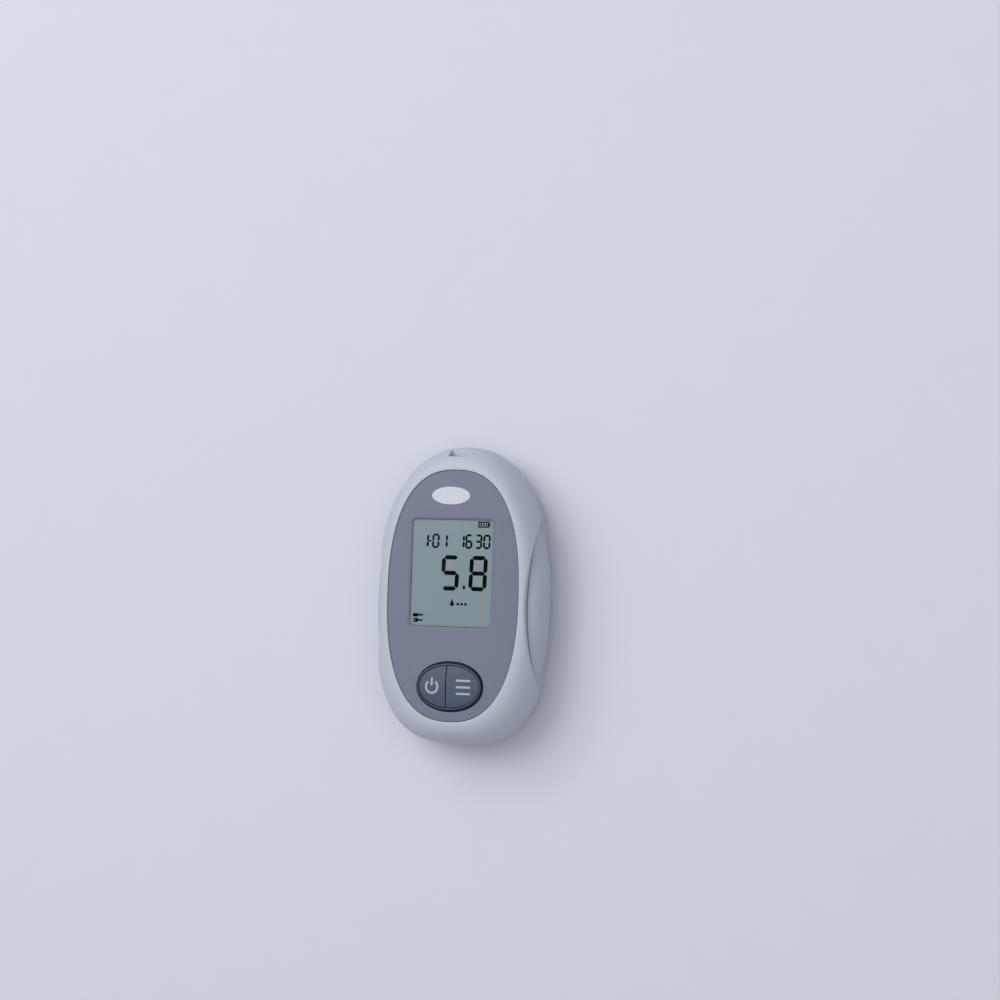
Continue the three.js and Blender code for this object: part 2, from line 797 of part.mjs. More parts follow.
function batteryDoor() {
  const plateHalfWidth = trayHalfWidth - slideGap;
  const plate = box([-plateHalfWidth, -bodyLength, doorInset], [plateHalfWidth, doorFar, doorTop]);
  const tongues = box(
    [-plateHalfWidth - tongueReach, -bodyLength, doorTop - tongueThickness],
    [plateHalfWidth + tongueReach, doorFar, doorTop],
  );
  const ridgeStart = ridgeEndInset - bodyEnd;
  const ridges = Array.from({ length: ridgeCount }, (_, i) => box(
    [-half(ridgeLength), ridgeStart + i * ridgePitch, -overrun],
    [half(ridgeLength), ridgeStart + i * ridgePitch + ridgeWidth, doorInset + ridgeDepth],
  ));
  const label = roundedRectangle(
    labelWidth + 2 * fitGap,
    labelLength + 2 * fitGap,
    labelCorner + fitGap,
    0,
    labelY,
  );
  return cut(joined([plate, tongues]).intersect(rearSkin(outerForm)), [
    ...ridges,
    prism(label, -overrun, doorInset + labelInset + labelThickness),
  ]);
}

function batteryCell() {
  const radius = half(cellDiameter);
  const shoulder = cellLength - cellNubLength;
  const profile = [
    [0, 0],
    [radius - cellEdge, 0],
    [radius, cellEdge],
    [radius, shoulder - cellEdge],
    [radius - cellEdge, shoulder],
    [half(cellNubDiameter), shoulder],
    [half(cellNubDiameter), cellLength],
    [0, cellLength],
  ].map(([x, y]) => new THREE.Vector2(x, y));
  return toSolid(new THREE.LatheGeometry(profile, cellSegments));
}

function contactPlate(low, high, tabs) {
  const [bottom, top] = [cellBottom + plateMargin, cellBottom + cellDiameter - plateMargin];
  const plate = box([low, 0, bottom], [high, plateThickness, top]);
  return joined([plate, ...tabs.map((x) => box(
    [x - half(plateTabWidth), 0, top - plateMargin],
    [x + half(plateTabWidth), plateThickness, boardBottom],
  ))]);
}

// A conical coil from the plate at zero to the cell at the spring's length
class SpringPath extends THREE.Curve {
  getPoint(share) {
    const angle = 2 * Math.PI * springTurns * share;
    const radius = half(mix(springBaseDiameter, springTipDiameter, share));
    const height = mix(springWire, springLength - springWire, share);
    return new THREE.Vector3(radius * Math.cos(angle), height, radius * Math.sin(angle));
  }
}

const coilStepsPerTurn = 8;
const wireSides = 5;

function springTube() {
  const path = new SpringPath();
  const steps = Math.round(springTurns * coilStepsPerTurn);
  const up = new THREE.Vector3(0, 1, 0);
  const rings = [];
  for (let i = 0; i <= steps; i += 1) {
    const centre = path.getPoint(i / steps);
    const outward = new THREE.Vector3(centre.x, 0, centre.z).normalize();
    rings.push(Array.from({ length: wireSides }, (_, k) => {
      const angle = 2 * Math.PI * k / wireSides;
      return centre.clone()
        .addScaledVector(outward, half(springWire) * Math.cos(angle))
        .addScaledVector(up, half(springWire) * Math.sin(angle));
    }));
  }
  return toSolid(loft(rings));
}

function springSelfGap() {
  const path = new SpringPath();
  const samples = Math.round(springTurns * coilStepsPerTurn * coilStepsPerTurn);
  const points = Array.from({ length: samples + 1 }, (_, i) => path.getPoint(i / samples));
  const apart = samples / springTurns / 2;
  let least = Infinity;
  points.forEach((point, i) => {
    for (let k = i + apart; k < points.length; k += 1) least = Math.min(least, point.distanceTo(points[Math.round(k)]));
  });
  return least - springWire;
}

console.log(`least gap between the turns of a battery spring: ${springSelfGap().toFixed(2)} mm`);

// Board and its parts
function mainBoard() {
  const level = bodyLevel(outerForm, 0);
  const points = [];
  for (let i = 0; i < bodySegments; i += 1) {
    const angle = 2 * Math.PI * i / bodySegments;
    const power = Math.sin(angle) >= 0 ? level.topPower : level.bottomPower;
    points.push(new THREE.Vector2(
      (level.halfWidth - boardSideInset) * signedPower(Math.cos(angle), 2 / power),
      (level.halfLength - boardEndInset) * signedPower(Math.sin(angle), 2 / power),
    ));
  }
  const lugs = screwPlaces.map(([x, y]) => cylinder(bossRadius, boardBottom, boardTop, x, y));
  const holes = screwPlaces.map(([x, y]) => cylinder(screwRadius + fitGap, 0, bodyHeight, x, y));
  return cut(joined([prism(points, boardBottom, boardTop), ...lugs]), holes);
}

function buzzer() {
  const height = displayBottom - boardTop - buzzerGap;
  const can = cylinder(half(buzzerDiameter), 0, height);
  return can.subtract(cylinder(half(buzzerHole), half(height), height + overrun));
}

const microcontroller = () => prism(roundedRectangle(chipSize, chipSize, chipCorner, 0, 0, 2), 0, chipHeight);

function caseScrew() {
  const headBottom = screwSeat - screwHeadHeight;
  const profile = [
    [0, headBottom],
    [screwHeadRadius - screwHeadRound, headBottom],
    [screwHeadRadius, headBottom + screwHeadRound],
    [screwHeadRadius, screwSeat],
    [screwRadius, screwSeat],
    [screwRadius, screwTip - screwRadius],
    [0, screwTip],
  ].map(([x, z]) => new THREE.Vector2(x, z));
  const geometry = new THREE.LatheGeometry(profile, screwSegments);
  geometry.rotateX(Math.PI / 2);
  const slots = [[screwDriveLength, screwDriveWidth], [screwDriveWidth, screwDriveLength]].map(([x, y]) => box(
    [-half(x), -half(y), headBottom - overrun],
    [half(x), half(y), headBottom + screwDriveDepth],
  ));
  return cut(toSolid(geometry), slots);
}

const rearLabel = () => prism(
  roundedRectangle(labelWidth, labelLength, labelCorner, 0, labelY),
  doorInset + labelInset,
  doorInset + labelInset + labelThickness,
);

// Materials
const material = (color, roughness, metalness = 0) => new THREE.MeshStandardMaterial({ color, roughness, metalness });
const shellPlastic = material(0xc3cad7, 0.45);
const gripRubber = material(0xaab4c2, 0.7);
const panelPlastic = material(0x767d90, 0.4);
const keyPlastic = material(0x565d72, 0.4);
const lensPlastic = material(0xdfe8ea, 0.05);
const displayGlass = material(0x80949a, 0.25);
const holderPlastic = material(0xe4e4de, 0.5);
const conductiveRubber = material(0x4a4a50, 0.8);
const boardLaminate = material(0x1f6b45, 0.5);
const blackPlastic = material(0x1e2024, 0.5);
const goldPlate = material(0xd6b25e, 0.3, 1);
const steel = material(0xb9bcc0, 0.3, 1);
const cellSleeve = material(0x3b6ea0, 0.35, 0.3);
const labelFilm = material(0xd9dde3, 0.5);

// Assembly
const meter = new THREE.Group();

function addPart(name, solid, finish, position = [0, 0, 0], rotation = [0, 0, 0]) {
  const mesh = new THREE.Mesh(toGeometry(solid), finish);
  mesh.name = name;
  mesh.position.set(...position);
  mesh.rotation.set(...rotation);
  meter.add(mesh);
}

addPart('front_shell', frontShell(), shellPlastic);
addPart('rear_shell', rearShell(), shellPlastic);
addPart('face_panel', facePanel(), panelPlastic);
addPart('lcd_lens', displayLens(), lensPlastic);
addPart('lcd_glass', displayPlate(), displayGlass);
addPart('lcd_holder', displayHolder(), holderPlastic);
addPart('zebra_strip_top', connectorStrip(1), conductiveRubber);
addPart('zebra_strip_bottom', connectorStrip(-1), conductiveRubber);
addPart('main_board', mainBoard(), boardLaminate);
addPart('key_bezel', keyBezel(), keyPlastic);

for (const [sideName, side] of [['left', -1], ['right', 1]]) {
  const x = switchX(side);
  addPart(`${sideName}_key`, key(side), keyPlastic);
  addPart(`${sideName}_switch_body`, switchBody(), blackPlastic, [x, keyY, boardTop]);
  addPart(`${sideName}_switch_stem`, switchStem(), steel, [x, keyY, stemBottom]);
  addPart(`${sideName}_grip`, gripBody(side), gripRubber);
}

addPart('strip_port', stripPort(), blackPlastic);
const contactPlaces = [-contactSpacing, 0, contactSpacing];
contactPlaces.forEach((x, i) => addPart(
  `strip_contact_${i + 1}`,
  stripContact(),
  goldPlate,
  [x, channelBack + contactEndGap, notchFloor],
));

const cellHeight = cellBottom + half(cellDiameter);
const plateInner = half(fitGap);
const plateOuter = trayHalfWidth - fitGap;
const bridgeY = trayNear;
const farPlateY = trayFar - plateThickness;
addPart('battery_door', batteryDoor(), shellPlastic);
addPart('left_battery', batteryCell(), cellSleeve, [-cellX, farPlateY - cellLength, cellHeight]);
addPart(
  'right_battery',
  batteryCell(),
  cellSleeve,
  [cellX, bridgeY + plateThickness + cellLength, cellHeight],
  [0, 0, Math.PI],
);
addPart('bridge_plate', contactPlate(-plateOuter, plateOuter, []), steel, [0, bridgeY, 0]);
addPart('left_contact_plate', contactPlate(-plateOuter, -plateInner - fitGap, [-cellX]), steel, [0, farPlateY, 0]);
addPart('right_contact_plate', contactPlate(plateInner + fitGap, plateOuter, [cellX]), steel, [0, farPlateY, 0]);
addPart('left_battery_spring', springTube(), steel, [-cellX, bridgeY + plateThickness, cellHeight]);
addPart('right_battery_spring', springTube(), steel, [cellX, farPlateY, cellHeight], [0, 0, Math.PI]);

screwPlaces.forEach(([x, y], i) => addPart(`case_screw_${i + 1}`, caseScrew(), steel, [x, y, 0]));
addPart('buzzer', buzzer(), blackPlastic, [windowX + buzzerOffset, windowY, boardTop]);
addPart('microcontroller', microcontroller(), blackPlastic, [windowX - chipOffset, windowY, boardTop]);
addPart('rear_label', rearLabel(), labelFilm);

export default meter;
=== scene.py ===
"""Looks of a blood glucose meter that lies on its back. Lengths are in millimetres until a mesh is made."""
import math

import bmesh
import bpy
from mathutils import Matrix, Vector


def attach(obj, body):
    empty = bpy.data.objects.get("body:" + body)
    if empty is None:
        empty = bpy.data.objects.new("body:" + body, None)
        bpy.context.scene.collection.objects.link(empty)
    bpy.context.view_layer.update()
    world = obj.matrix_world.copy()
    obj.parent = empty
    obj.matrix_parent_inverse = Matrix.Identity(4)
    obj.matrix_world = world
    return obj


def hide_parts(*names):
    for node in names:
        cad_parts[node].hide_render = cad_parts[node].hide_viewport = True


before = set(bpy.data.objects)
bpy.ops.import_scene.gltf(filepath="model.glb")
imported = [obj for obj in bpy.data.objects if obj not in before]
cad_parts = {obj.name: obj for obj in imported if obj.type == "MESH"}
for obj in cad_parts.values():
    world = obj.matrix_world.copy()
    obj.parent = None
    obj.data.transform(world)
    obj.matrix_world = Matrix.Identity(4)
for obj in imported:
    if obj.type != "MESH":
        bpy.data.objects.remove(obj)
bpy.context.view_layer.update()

MM = 0.001
HOUSING = "housing"
DOOR = "door"
SIDES = {"left": -1, "right": 1}

# Body
BODY_LENGTH = 96.0
BODY_WIDTH = 58.4
BODY_HEIGHT = 22.0
PARTING = 10.8
BACK_LENGTH = 84.0
BACK_WIDTH = 46.0
TOP_POWER = 2.18
BOTTOM_POWER = 2.92
SHELL_WALL = 1.8
BACK_WALL = 1.8
SHOULDER_INSET = 0.9
SEAM_BEVEL = 0.25
RIM_LAND = 0.35
RIM_ROUND = 0.12
FIT = 0.3
OVERRUN = 5.0
RING_POINTS = 240
FRONT_LEVELS = 30
REAR_LEVELS = 20
INSIDE_POINTS = 120
INSIDE_LEVELS = 12
ROUND_STEPS = 3
FINE_ROUND_STEPS = 4

# Face panel and window
PANEL_LENGTH = 80.3
PANEL_WIDTH = 44.2
PANEL_POWER = 2.44
PANEL_Y = -0.3
PANEL_TOP = 21.75
PANEL_GAP = 0.25
PANEL_SKIN_GAP = 0.17
SEAT = 20.55
CEILING = 18.95
EDGE_ROUND = 0.15
WINDOW = (27.9, 34.5)
WINDOW_CENTRE = (-0.6, 6.9)
WINDOW_CORNER = 1.4
CHAMFER_DEPTH = 0.3
CHAMFER_WIDTH = 0.6
PANEL_SHARP_ANGLE = 25
LENS_GAP = 0.05
LENS_DROP = 0.12
LENS_FLANGE = 1.4
LENS_FLANGE_HEIGHT = 0.9
LENS_SHEET = 0.22
LENS_SKIRT = 0.05
APERTURE_MARGIN = 0.35

# Keys
KEY_Y = -29.4
KEY_OVAL = (20.5, 13.5)
KEY_POWER = 2.06
KEY_SPLIT_X = -0.9
KEY_SPLIT_GAP = 0.35
KEY_RIM_TOP = 22.5
KEY_CROWN = 0.75
KEY_ROUND = 0.28
KEY_RIM_SHARE = 0.96
KEY_TOP_SHARE = 0.93
KEY_TOP_STEPS = 10
KEY_SPLIT_ROUND = 0.08
KEY_FLANGE = 0.9
KEY_FLANGE_BOTTOM = 17.65
KEY_FLANGE_TOP = 18.65
KEY_POCKET = (5.4, 6.4)
KEY_POCKET_TOP = 20.5
BEZEL_TOP = 22.75
BEZEL_SIDE = 0.78
BEZEL_END = 1.0
BEZEL_ROUND = 0.2
BEZEL_GAP = 0.14
BEZEL_SEAM = 0.1
TRIM_BOTTOM = 22.5
TRIM_INSET = (0.53, 0.65)
KEY_POINTS = 144

# Strip port notch
NOTCH_WIDTH = 7.5
NOTCH_WALL_Y = 44.5
NOTCH_FLOOR = 16.2
NOTCH_CORNER = 0.5
NOTCH_CORNER_STEPS = 4
SLOT = (7.2, 1.3)
SLEEVE_WIDTH = 12.0
SLEEVE_DEPTH = 2.7
SLEEVE_WALL = 1.1

# Side grips
GRIP_LENGTH = 53.8
GRIP_Y = -2.4
GRIP_POWER = 1.85
GRIP_MIDDLE = -3.0
GRIP_TIP_DROOP = 21.0
GRIP_UP = 62.0
GRIP_DOWN = 40.0
GRIP_MIDDLE_DROP = 0.4
GRIP_EDGE_DROP = 2.2
GRIP_CROWN_POWER = 3
GRIP_DEPTH = 2.5
GRIP_WALL = 1.2
GRIP_EDGE = 0.3
GRIP_EDGE_SHARE = 0.98
GRIP_GAP = 0.5
GRIP_GROOVE = 0.8
CREASE_WIDTH = 1.7
CREASE_DEPTH = 2.15
CREASE_LIFT = 0.02
CREASE_POWER = 1.4
CREASE_STEPS = 7
GRIP_SPOKES = 120
PATCH_STEPS = 12

# Battery compartment, door and label
BOARD_BOTTOM = 13.8
BOARD_TOP = 15.0
TRAY_HALF = 10.95
TRAY_NEAR = -38.0
TRAY_FAR = 13.0
TRAY_CEILING = 12.8
TRAY_TOP = 13.6
TRAY_WALL = 1.3
TRAY_END = 5.5
RAIL_HALF = 13.25
RAIL_TOP = 3.6
GROOVE_HALF = 12.35
DOOR_BOTTOM = 0.1
DOOR_TOP = 1.7
DOOR_FAR = 13.3
DOOR_HALF = 10.65
TONGUE_HALF = 12.05
TONGUE_BOTTOM = 1.0
GROOVE_COUNT = 5
GROOVE_PITCH = 2.2
GROOVE_START = -37.5
GROOVE_LENGTH = 13.0
GROOVE_RADIUS = 0.5
GROOVE_POINTS = 24
LABEL = (16.0, 11.0)
LABEL_Y = 1.8
LABEL_CORNER = 1.5
LABEL_TOP = 0.45
TAB_WIDTH = 2.0
PLATE = 0.4
CELL_X = 5.4
CELL_Z = 7.25
CELL_RADIUS = 5.25
CELL_LENGTH = 44.5
SPRING_LENGTH = 5.7
SPRING_WIRE = 0.6
SPRING_BASE = 7.2
SPRING_TIP = 5.2
SPRING_TURNS = 3.5

# Screws
SCREWS = ((10.5, 35.0), (-10.5, 35.0), (16.0, -31.0), (-16.0, -31.0))
SCREW_RADIUS = 1.05
SCREW_TIP = 18.2
SCREW_SEAT = 6.0
SCREW_HEAD_RADIUS = 2.0
SCREW_HEAD_BOTTOM = 4.6
BOSS_RADIUS = 2.5
REAR_BOSS_RADIUS = 3.1


def srgb(red, green, blue):
    """Linear colour of a screen colour whose channels run to 255."""
    def linear(value):
        share = value / 255
        return share / 12.92 if share <= 0.04045 else ((share + 0.055) / 1.055) ** 2.4
    return (linear(red), linear(green), linear(blue), 1.0)


# Materials: sizes of the colour drift and of the uneven gloss, and the height of the grain
DRIFT_SIZE = 14.0
GLOSS_SIZE = 6.0
GLOSS_SPREAD = 0.06
GLOSS_LEAST = 0.02
GRAIN_HEIGHT = 0.02


def material(name, color, roughness, metallic=0.0, grain=0.0, grain_size=0.3, mottle=0.03, **inputs):
    """A moulded, painted or plated surface: slow colour drift, uneven gloss and a fine grain."""
    made = bpy.data.materials.new(name)
    made.use_nodes = True
    nodes, links = made.node_tree.nodes, made.node_tree.links
    shader = nodes["Principled BSDF"]
    shader.inputs["Metallic"].default_value = metallic
    for key, value in inputs.items():
        shader.inputs[key.replace("_", " ")].default_value = value
    place = nodes.new("ShaderNodeTexCoord")

    def noise(size, detail):
        node = nodes.new("ShaderNodeTexNoise")
        node.inputs["Scale"].default_value = 1 / (size * MM)
        node.inputs["Detail"].default_value = detail
        links.new(place.outputs["Object"], node.inputs["Vector"])
        return node.outputs["Fac"]

    drift = nodes.new("ShaderNodeMix")
    drift.data_type = "RGBA"
    drift.inputs["A"].default_value = (*[c * (1 - mottle) for c in color[:3]], 1)
    drift.inputs["B"].default_value = (*[min(c * (1 + mottle), 1) for c in color[:3]], 1)
    links.new(noise(DRIFT_SIZE, 2), drift.inputs["Factor"])
    links.new(drift.outputs["Result"], shader.inputs["Base Color"])
    gloss = nodes.new("ShaderNodeMapRange")
    gloss.inputs["To Min"].default_value = max(roughness - GLOSS_SPREAD, GLOSS_LEAST)
    gloss.inputs["To Max"].default_value = min(roughness + GLOSS_SPREAD, 1)
    links.new(noise(GLOSS_SIZE, 3), gloss.inputs["Value"])
    links.new(gloss.outputs["Result"], shader.inputs["Roughness"])
    if grain:
        bump = nodes.new("ShaderNodeBump")
        bump.inputs["Strength"].default_value = grain
        bump.inputs["Distance"].default_value = GRAIN_HEIGHT * MM
        links.new(noise(grain_size, 4), bump.inputs["Height"])
        links.new(bump.outputs["Normal"], shader.inputs["Normal"])
    return made


SHELL = material("shell_satin", srgb(177, 183, 195), 0.45, grain=0.25, grain_size=0.35)
# The grips are the shell's plastic with a softer finish; their colour is set a little darker than the shell's
# as painted shade.
GRIP_WITH_PAINTED_SHADE = material("grip_soft_painted_shade", srgb(173, 181, 193), 0.55, grain=0.5, grain_size=0.25)
PANEL = material("panel_matte", srgb(113, 119, 136), 0.6, grain=0.3, grain_size=0.3, Specular_IOR_Level=0.3)
KEYS = material("key_satin", srgb(67, 75, 97), 0.5, grain=0.2, grain_size=0.3, Specular_IOR_Level=0.4)
# The bezel's dark colour is painted shade: it stands in for the shadowed gap between the key ring and the
# panel.
BEZEL_PAINTED_SHADE = material("bezel_painted_shade", srgb(24, 30, 48), 0.5, grain=0.15, Specular_IOR_Level=0.15)
TRIM = material("trim_satin", srgb(62, 70, 92), 0.5, grain=0.15, Specular_IOR_Level=0.4)
LEGEND = material("legend_ink", srgb(160, 169, 184), 0.5, grain=0.1)
BADGE = material("badge_ink", srgb(196, 200, 213), 0.4, grain=0.1, mottle=0.01)
LENS = material("lens_clear", srgb(40, 48, 52), 0.12, mottle=0.01, Alpha=0.02)
DISPLAY = material("display_reflector", srgb(120, 139, 144), 0.5, grain=0.15, grain_size=0.2)
DISPLAY_EDGE = material("display_edge", srgb(116, 130, 141), 0.45, grain=0.1)
SEGMENT = material("display_segment", srgb(6, 8, 13), 0.5, mottle=0.1, Specular_IOR_Level=0.0)
HOLDER = material("holder_plastic", srgb(228, 228, 222), 0.5, grain=0.2)
CONDUCTIVE = material("conductive_rubber", srgb(74, 74, 80), 0.8, grain=0.3)
BOARD = material("board_laminate", srgb(40, 108, 72), 0.45, grain=0.5, grain_size=0.6)
BLACK = material("black_plastic", srgb(38, 40, 44), 0.5, grain=0.3)
GOLD = material("gold_plate", srgb(214, 178, 94), 0.28, metallic=1.0, grain=0.1)
STEEL = material("nickel_steel", srgb(185, 188, 192), 0.3, metallic=1.0, grain=0.2, grain_size=0.8)
CAN = material("cell_can", srgb(196, 198, 200), 0.25, metallic=1.0, grain=0.1)
SLEEVE = material("cell_sleeve", srgb(64, 96, 140), 0.3, grain=0.05, mottle=0.06)
FILM = material("label_film", srgb(205, 209, 216), 0.5, grain=0.15)


# Mesh making
def solid(name, rings, closed=False):
    """A closed skin through rings of points. A ring of one point is a pole, and a closed run joins its ends."""
    points, starts, faces = [], [], []
    for ring in rings:
        starts.append(len(points))
        points.extend(ring)
    pairs = list(zip(range(len(rings)), range(1, len(rings))))
    if closed:
        pairs.append((len(rings) - 1, 0))
    for low, high in pairs:
        below, above = rings[low], rings[high]
        for i in range(max(len(below), len(above))):
            after = i + 1
            corners = [starts[low] + i % len(below), starts[low] + after % len(below)]
            corners += [starts[high] + after % len(above), starts[high] + i % len(above)]
            faces.append(list(dict.fromkeys(corners)))
    if not closed:
        for index in (0, len(rings) - 1):
            if len(rings[index]) > 2:
                faces.append([starts[index] + i for i in range(len(rings[index]))])
    mesh = bpy.data.meshes.new(name)
    mesh.from_pydata([tuple(c * MM for c in p) for p in points], [], faces)
    work = bmesh.new()
    work.from_mesh(mesh)
    bmesh.ops.recalc_face_normals(work, faces=work.faces)
    work.to_mesh(mesh)
    work.free()
    piece = bpy.data.objects.new(name, mesh)
    bpy.context.scene.collection.objects.link(piece)
    return piece


def settle(piece):
    """Turns what the modifiers show into the piece's own mesh."""
    shown = piece.evaluated_get(bpy.context.evaluated_depsgraph_get())
    made = bpy.data.meshes.new_from_object(shown)
    piece.modifiers.clear()
    old = piece.data
    piece.data = made
    bpy.data.meshes.remove(old)
    return piece


def combined(base, operation, tools):
    """Changes a base by tools, which are used up."""
    for tool in tools:
        step = base.modifiers.new("step", "BOOLEAN")
        step.solver = "MANIFOLD"
        step.operation = operation
        step.object = tool
    settle(base)
    for tool in tools:
        bpy.data.objects.remove(tool)
    return base


def cut(base, *tools):
    return combined(base, "DIFFERENCE", tools)


def joined(base, *tools):
    return combined(base, "UNION", tools)


def common(base, *tools):
    return combined(base, "INTERSECT", tools)


def box(low, high):
    corners = ((low[0], low[1]), (high[0], low[1]), (high[0], high[1]), (low[0], high[1]))
    return solid("tool", [[(x, y, z) for x, y in corners] for z in (low[2], high[2])])


def circle(radius, z, x=0.0, y=0.0, count=48):
    turns = [2 * math.pi * i / count for i in range(count)]
    return [(x + radius * math.cos(t), y + radius * math.sin(t), z) for t in turns]


def cylinder(radius, bottom, top, x, y):
    return solid("tool", [circle(radius, bottom, x, y), circle(radius, top, x, y)])


def rounded_rectangle(width, length, corner, centre, z, steps=8):
    points = []
    for quarter, (sign_x, sign_y) in enumerate(((1, 1), (-1, 1), (-1, -1), (1, -1))):
        for i in range(steps + 1):
            turn = (quarter + i / steps) * math.pi / 2
            points.append((
                centre[0] + sign_x * (width / 2 - corner) + corner * math.cos(turn),
                centre[1] + sign_y * (length / 2 - corner) + corner * math.sin(turn),
                z,
            ))
    return points


def oval_share(turn, top_power, bottom_power):
    """A point of the unit oval in the direction of a turn."""
    across, along = math.cos(turn), math.sin(turn)
    power = top_power if along >= 0 else bottom_power
    reach = (abs(across) ** power + abs(along) ** power) ** (-1 / power)
    return across * reach, along * reach


def oval(width, length, power, z, y=0.0, count=RING_POINTS, powers=None):
    """An oval ring of one power, or of one power each for its top and its bottom half."""
    top, bottom = powers or (power, power)
    shares = [oval_share(2 * math.pi * i / count, top, bottom) for i in range(count)]
    return [(width / 2 * u, y + length / 2 * v, z) for u, v in shares]


def arc(count=ROUND_STEPS):
    """Shares of a quarter turn, ends included, as (cosine, sine)."""
    return [(math.cos(math.pi / 2 * i / count), math.sin(math.pi / 2 * i / count)) for i in range(count + 1)]


SHARP_ANGLE = 32


def finished(piece, name, body, finish, nodes=(), sharp=SHARP_ANGLE):
    """Names a piece, smooths its shading up to edges that turn more than an angle, and hangs it on its body."""
    piece.name = name
    piece.data.name = name
    piece.data.shade_smooth()
    piece.data.set_sharp_from_angle(angle=math.radians(sharp))
    piece.data.materials.clear()
    piece.data.materials.append(finish)
    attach(piece, body)
    if nodes:
        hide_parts(*nodes)
    return piece


def softened(piece, width, segments=2, angle=50):
    """Rounds the edges that turn more than an angle."""
    bevel = piece.modifiers.new("edges", "BEVEL")
    bevel.width = width * MM
    bevel.segments = segments
    bevel.limit_method = "ANGLE"
    bevel.angle_limit = math.radians(angle)
    bevel.miter_outer = "MITER_ARC"
    return settle(piece)


# Body surface: slope 90 is the face, 0 the widest level and -90 the back
POCKET = (PANEL_WIDTH + 2 * PANEL_GAP, PANEL_LENGTH + 2 * PANEL_GAP)
FACE = (POCKET[0] + 2 * RIM_LAND, POCKET[1] + 2 * RIM_LAND)


def smaller(size, inset):
    return (size[0] - 2 * inset, size[1] - 2 * inset)


OUTER = {"middle": (BODY_WIDTH, BODY_LENGTH), "face": FACE, "back": (BACK_WIDTH, BACK_LENGTH),
         "top": BODY_HEIGHT, "bottom": 0.0}
INNER = {"middle": smaller(OUTER["middle"], SHELL_WALL), "face": smaller(FACE, SHOULDER_INSET),
         "back": smaller(OUTER["back"], SHOULDER_INSET), "top": CEILING, "bottom": BACK_WALL}
CLEAR = {**INNER, "middle": smaller(INNER["middle"], FIT), "face": smaller(INNER["face"], FIT)}


def mix(start, end, share):
    return start + (end - start) * share


def body_level(form, slope):
    """Half size, height, powers and centre of a form's ring at a slope."""
    rise, spread = math.sin(math.radians(slope)), math.cos(math.radians(slope))
    front = rise >= 0
    end = form["face"] if front else form["back"]
    reach = form["top"] - PARTING if front else PARTING - form["bottom"]
    half = [mix(end[k], form["middle"][k], spread) / 2 for k in (0, 1)]
    powers = (TOP_POWER, BOTTOM_POWER)
    if front:
        powers = tuple(mix(PANEL_POWER, power, spread) for power in powers)
    centre = mix(PANEL_Y, 0, spread) if front else 0.0
    return half, PARTING + rise * reach, powers, centre


def body_ring(form, slope, inset=0.0, z=None, count=RING_POINTS):
    half, height, powers, centre = body_level(form, slope)
    size = [2 * (h - inset) for h in half]
    return oval(*size, None, height if z is None else z, centre, count, powers)


def half_space(form, side, count=INSIDE_POINTS, levels=INSIDE_LEVELS):
    """The space inside the front (side 1) or the rear (side -1) of a form, run on past the parting line."""
    start = body_ring(form, 0, z=PARTING - side * OVERRUN, count=count)
    slopes = [side * 90 * i / levels for i in range(levels + 1)]
    return solid("tool", [start, *[body_ring(form, slope, count=count) for slope in slopes]])


def panel_ring(size, inset, z):
    return oval(*smaller(size, inset), PANEL_POWER, z, PANEL_Y)


def front_outside():
    """The dome, with the pocket for the panel let into it and a rounded rim."""
    rings = [body_ring(OUTER, 0, inset=SEAM_BEVEL, z=PARTING), body_ring(OUTER, 0, z=PARTING + SEAM_BEVEL)]
    rings += [body_ring(OUTER, 90 * i / FRONT_LEVELS) for i in range(2, FRONT_LEVELS + 1)]
    for across, along in arc():
        inset = RIM_LAND - RIM_ROUND * (1 - along)
        rings.append(panel_ring(FACE, inset, BODY_HEIGHT - RIM_ROUND * (1 - across)))
    rings.append(panel_ring(POCKET, 0, SEAT))
    return solid("front_shell_skin", rings)


def rear_outside():
    slopes = [90 * i / REAR_LEVELS for i in range(REAR_LEVELS, 1, -1)]
    rings = [body_ring(OUTER, -slope) for slope in slopes]
    rings += [body_ring(OUTER, 0, z=PARTING - SEAM_BEVEL), body_ring(OUTER, 0, inset=SEAM_BEVEL, z=PARTING)]
    return solid("rear_shell_skin", rings)


# Grips: closed forms swept over a lens-shaped patch of the body
def body_point(side, y, slope):
    half, z, powers, centre = body_level(OUTER, slope)
    power = powers[0] if y >= centre else powers[1]
    share = min(abs(y - centre) / half[1], 1)
    return Vector((side * half[0] * (1 - share ** power) ** (1 / power), y, z))


def body_normal(side, y, slope, step=0.05):
    along = body_point(side, y + step, slope) - body_point(side, y - step, slope)
    up = body_point(side, y, slope + step) - body_point(side, y, slope - step)
    normal = along.cross(up).normalized()
    return normal * math.copysign(1, normal.x * side)


def signed_power(value, power):
    return math.copysign(abs(value) ** power, value)


def patch(name, side, profile):
    """Sweeps (share of the lens, growth, offset along the normal) round the lens, from middle to middle."""
    rings = []
    for share, growth, offset in profile:
        grown = math.degrees(growth / ((BODY_WIDTH - FACE[0]) / 2))
        ring = []
        for spoke in range(GRIP_SPOKES if share else 1):
            turn = 2 * math.pi * spoke / GRIP_SPOKES
            span = (GRIP_UP if math.sin(turn) >= 0 else GRIP_DOWN) + grown
            along = share * signed_power(math.cos(turn), 2 / GRIP_POWER)
            y = GRIP_Y + (GRIP_LENGTH / 2 + growth) * along
            slope = GRIP_MIDDLE - GRIP_TIP_DROOP * along ** 2
            slope += span * share * signed_power(math.sin(turn), 2 / GRIP_POWER)
            ring.append(tuple(body_point(side, y, slope) + offset * body_normal(side, y, slope)))
        rings.append(ring)
    return solid(name, rings)


PATCH_SHARES = [i / PATCH_STEPS for i in range(PATCH_STEPS)]


def grip_surface(share):
    return -mix(GRIP_MIDDLE_DROP, GRIP_EDGE_DROP, share ** GRIP_CROWN_POWER)


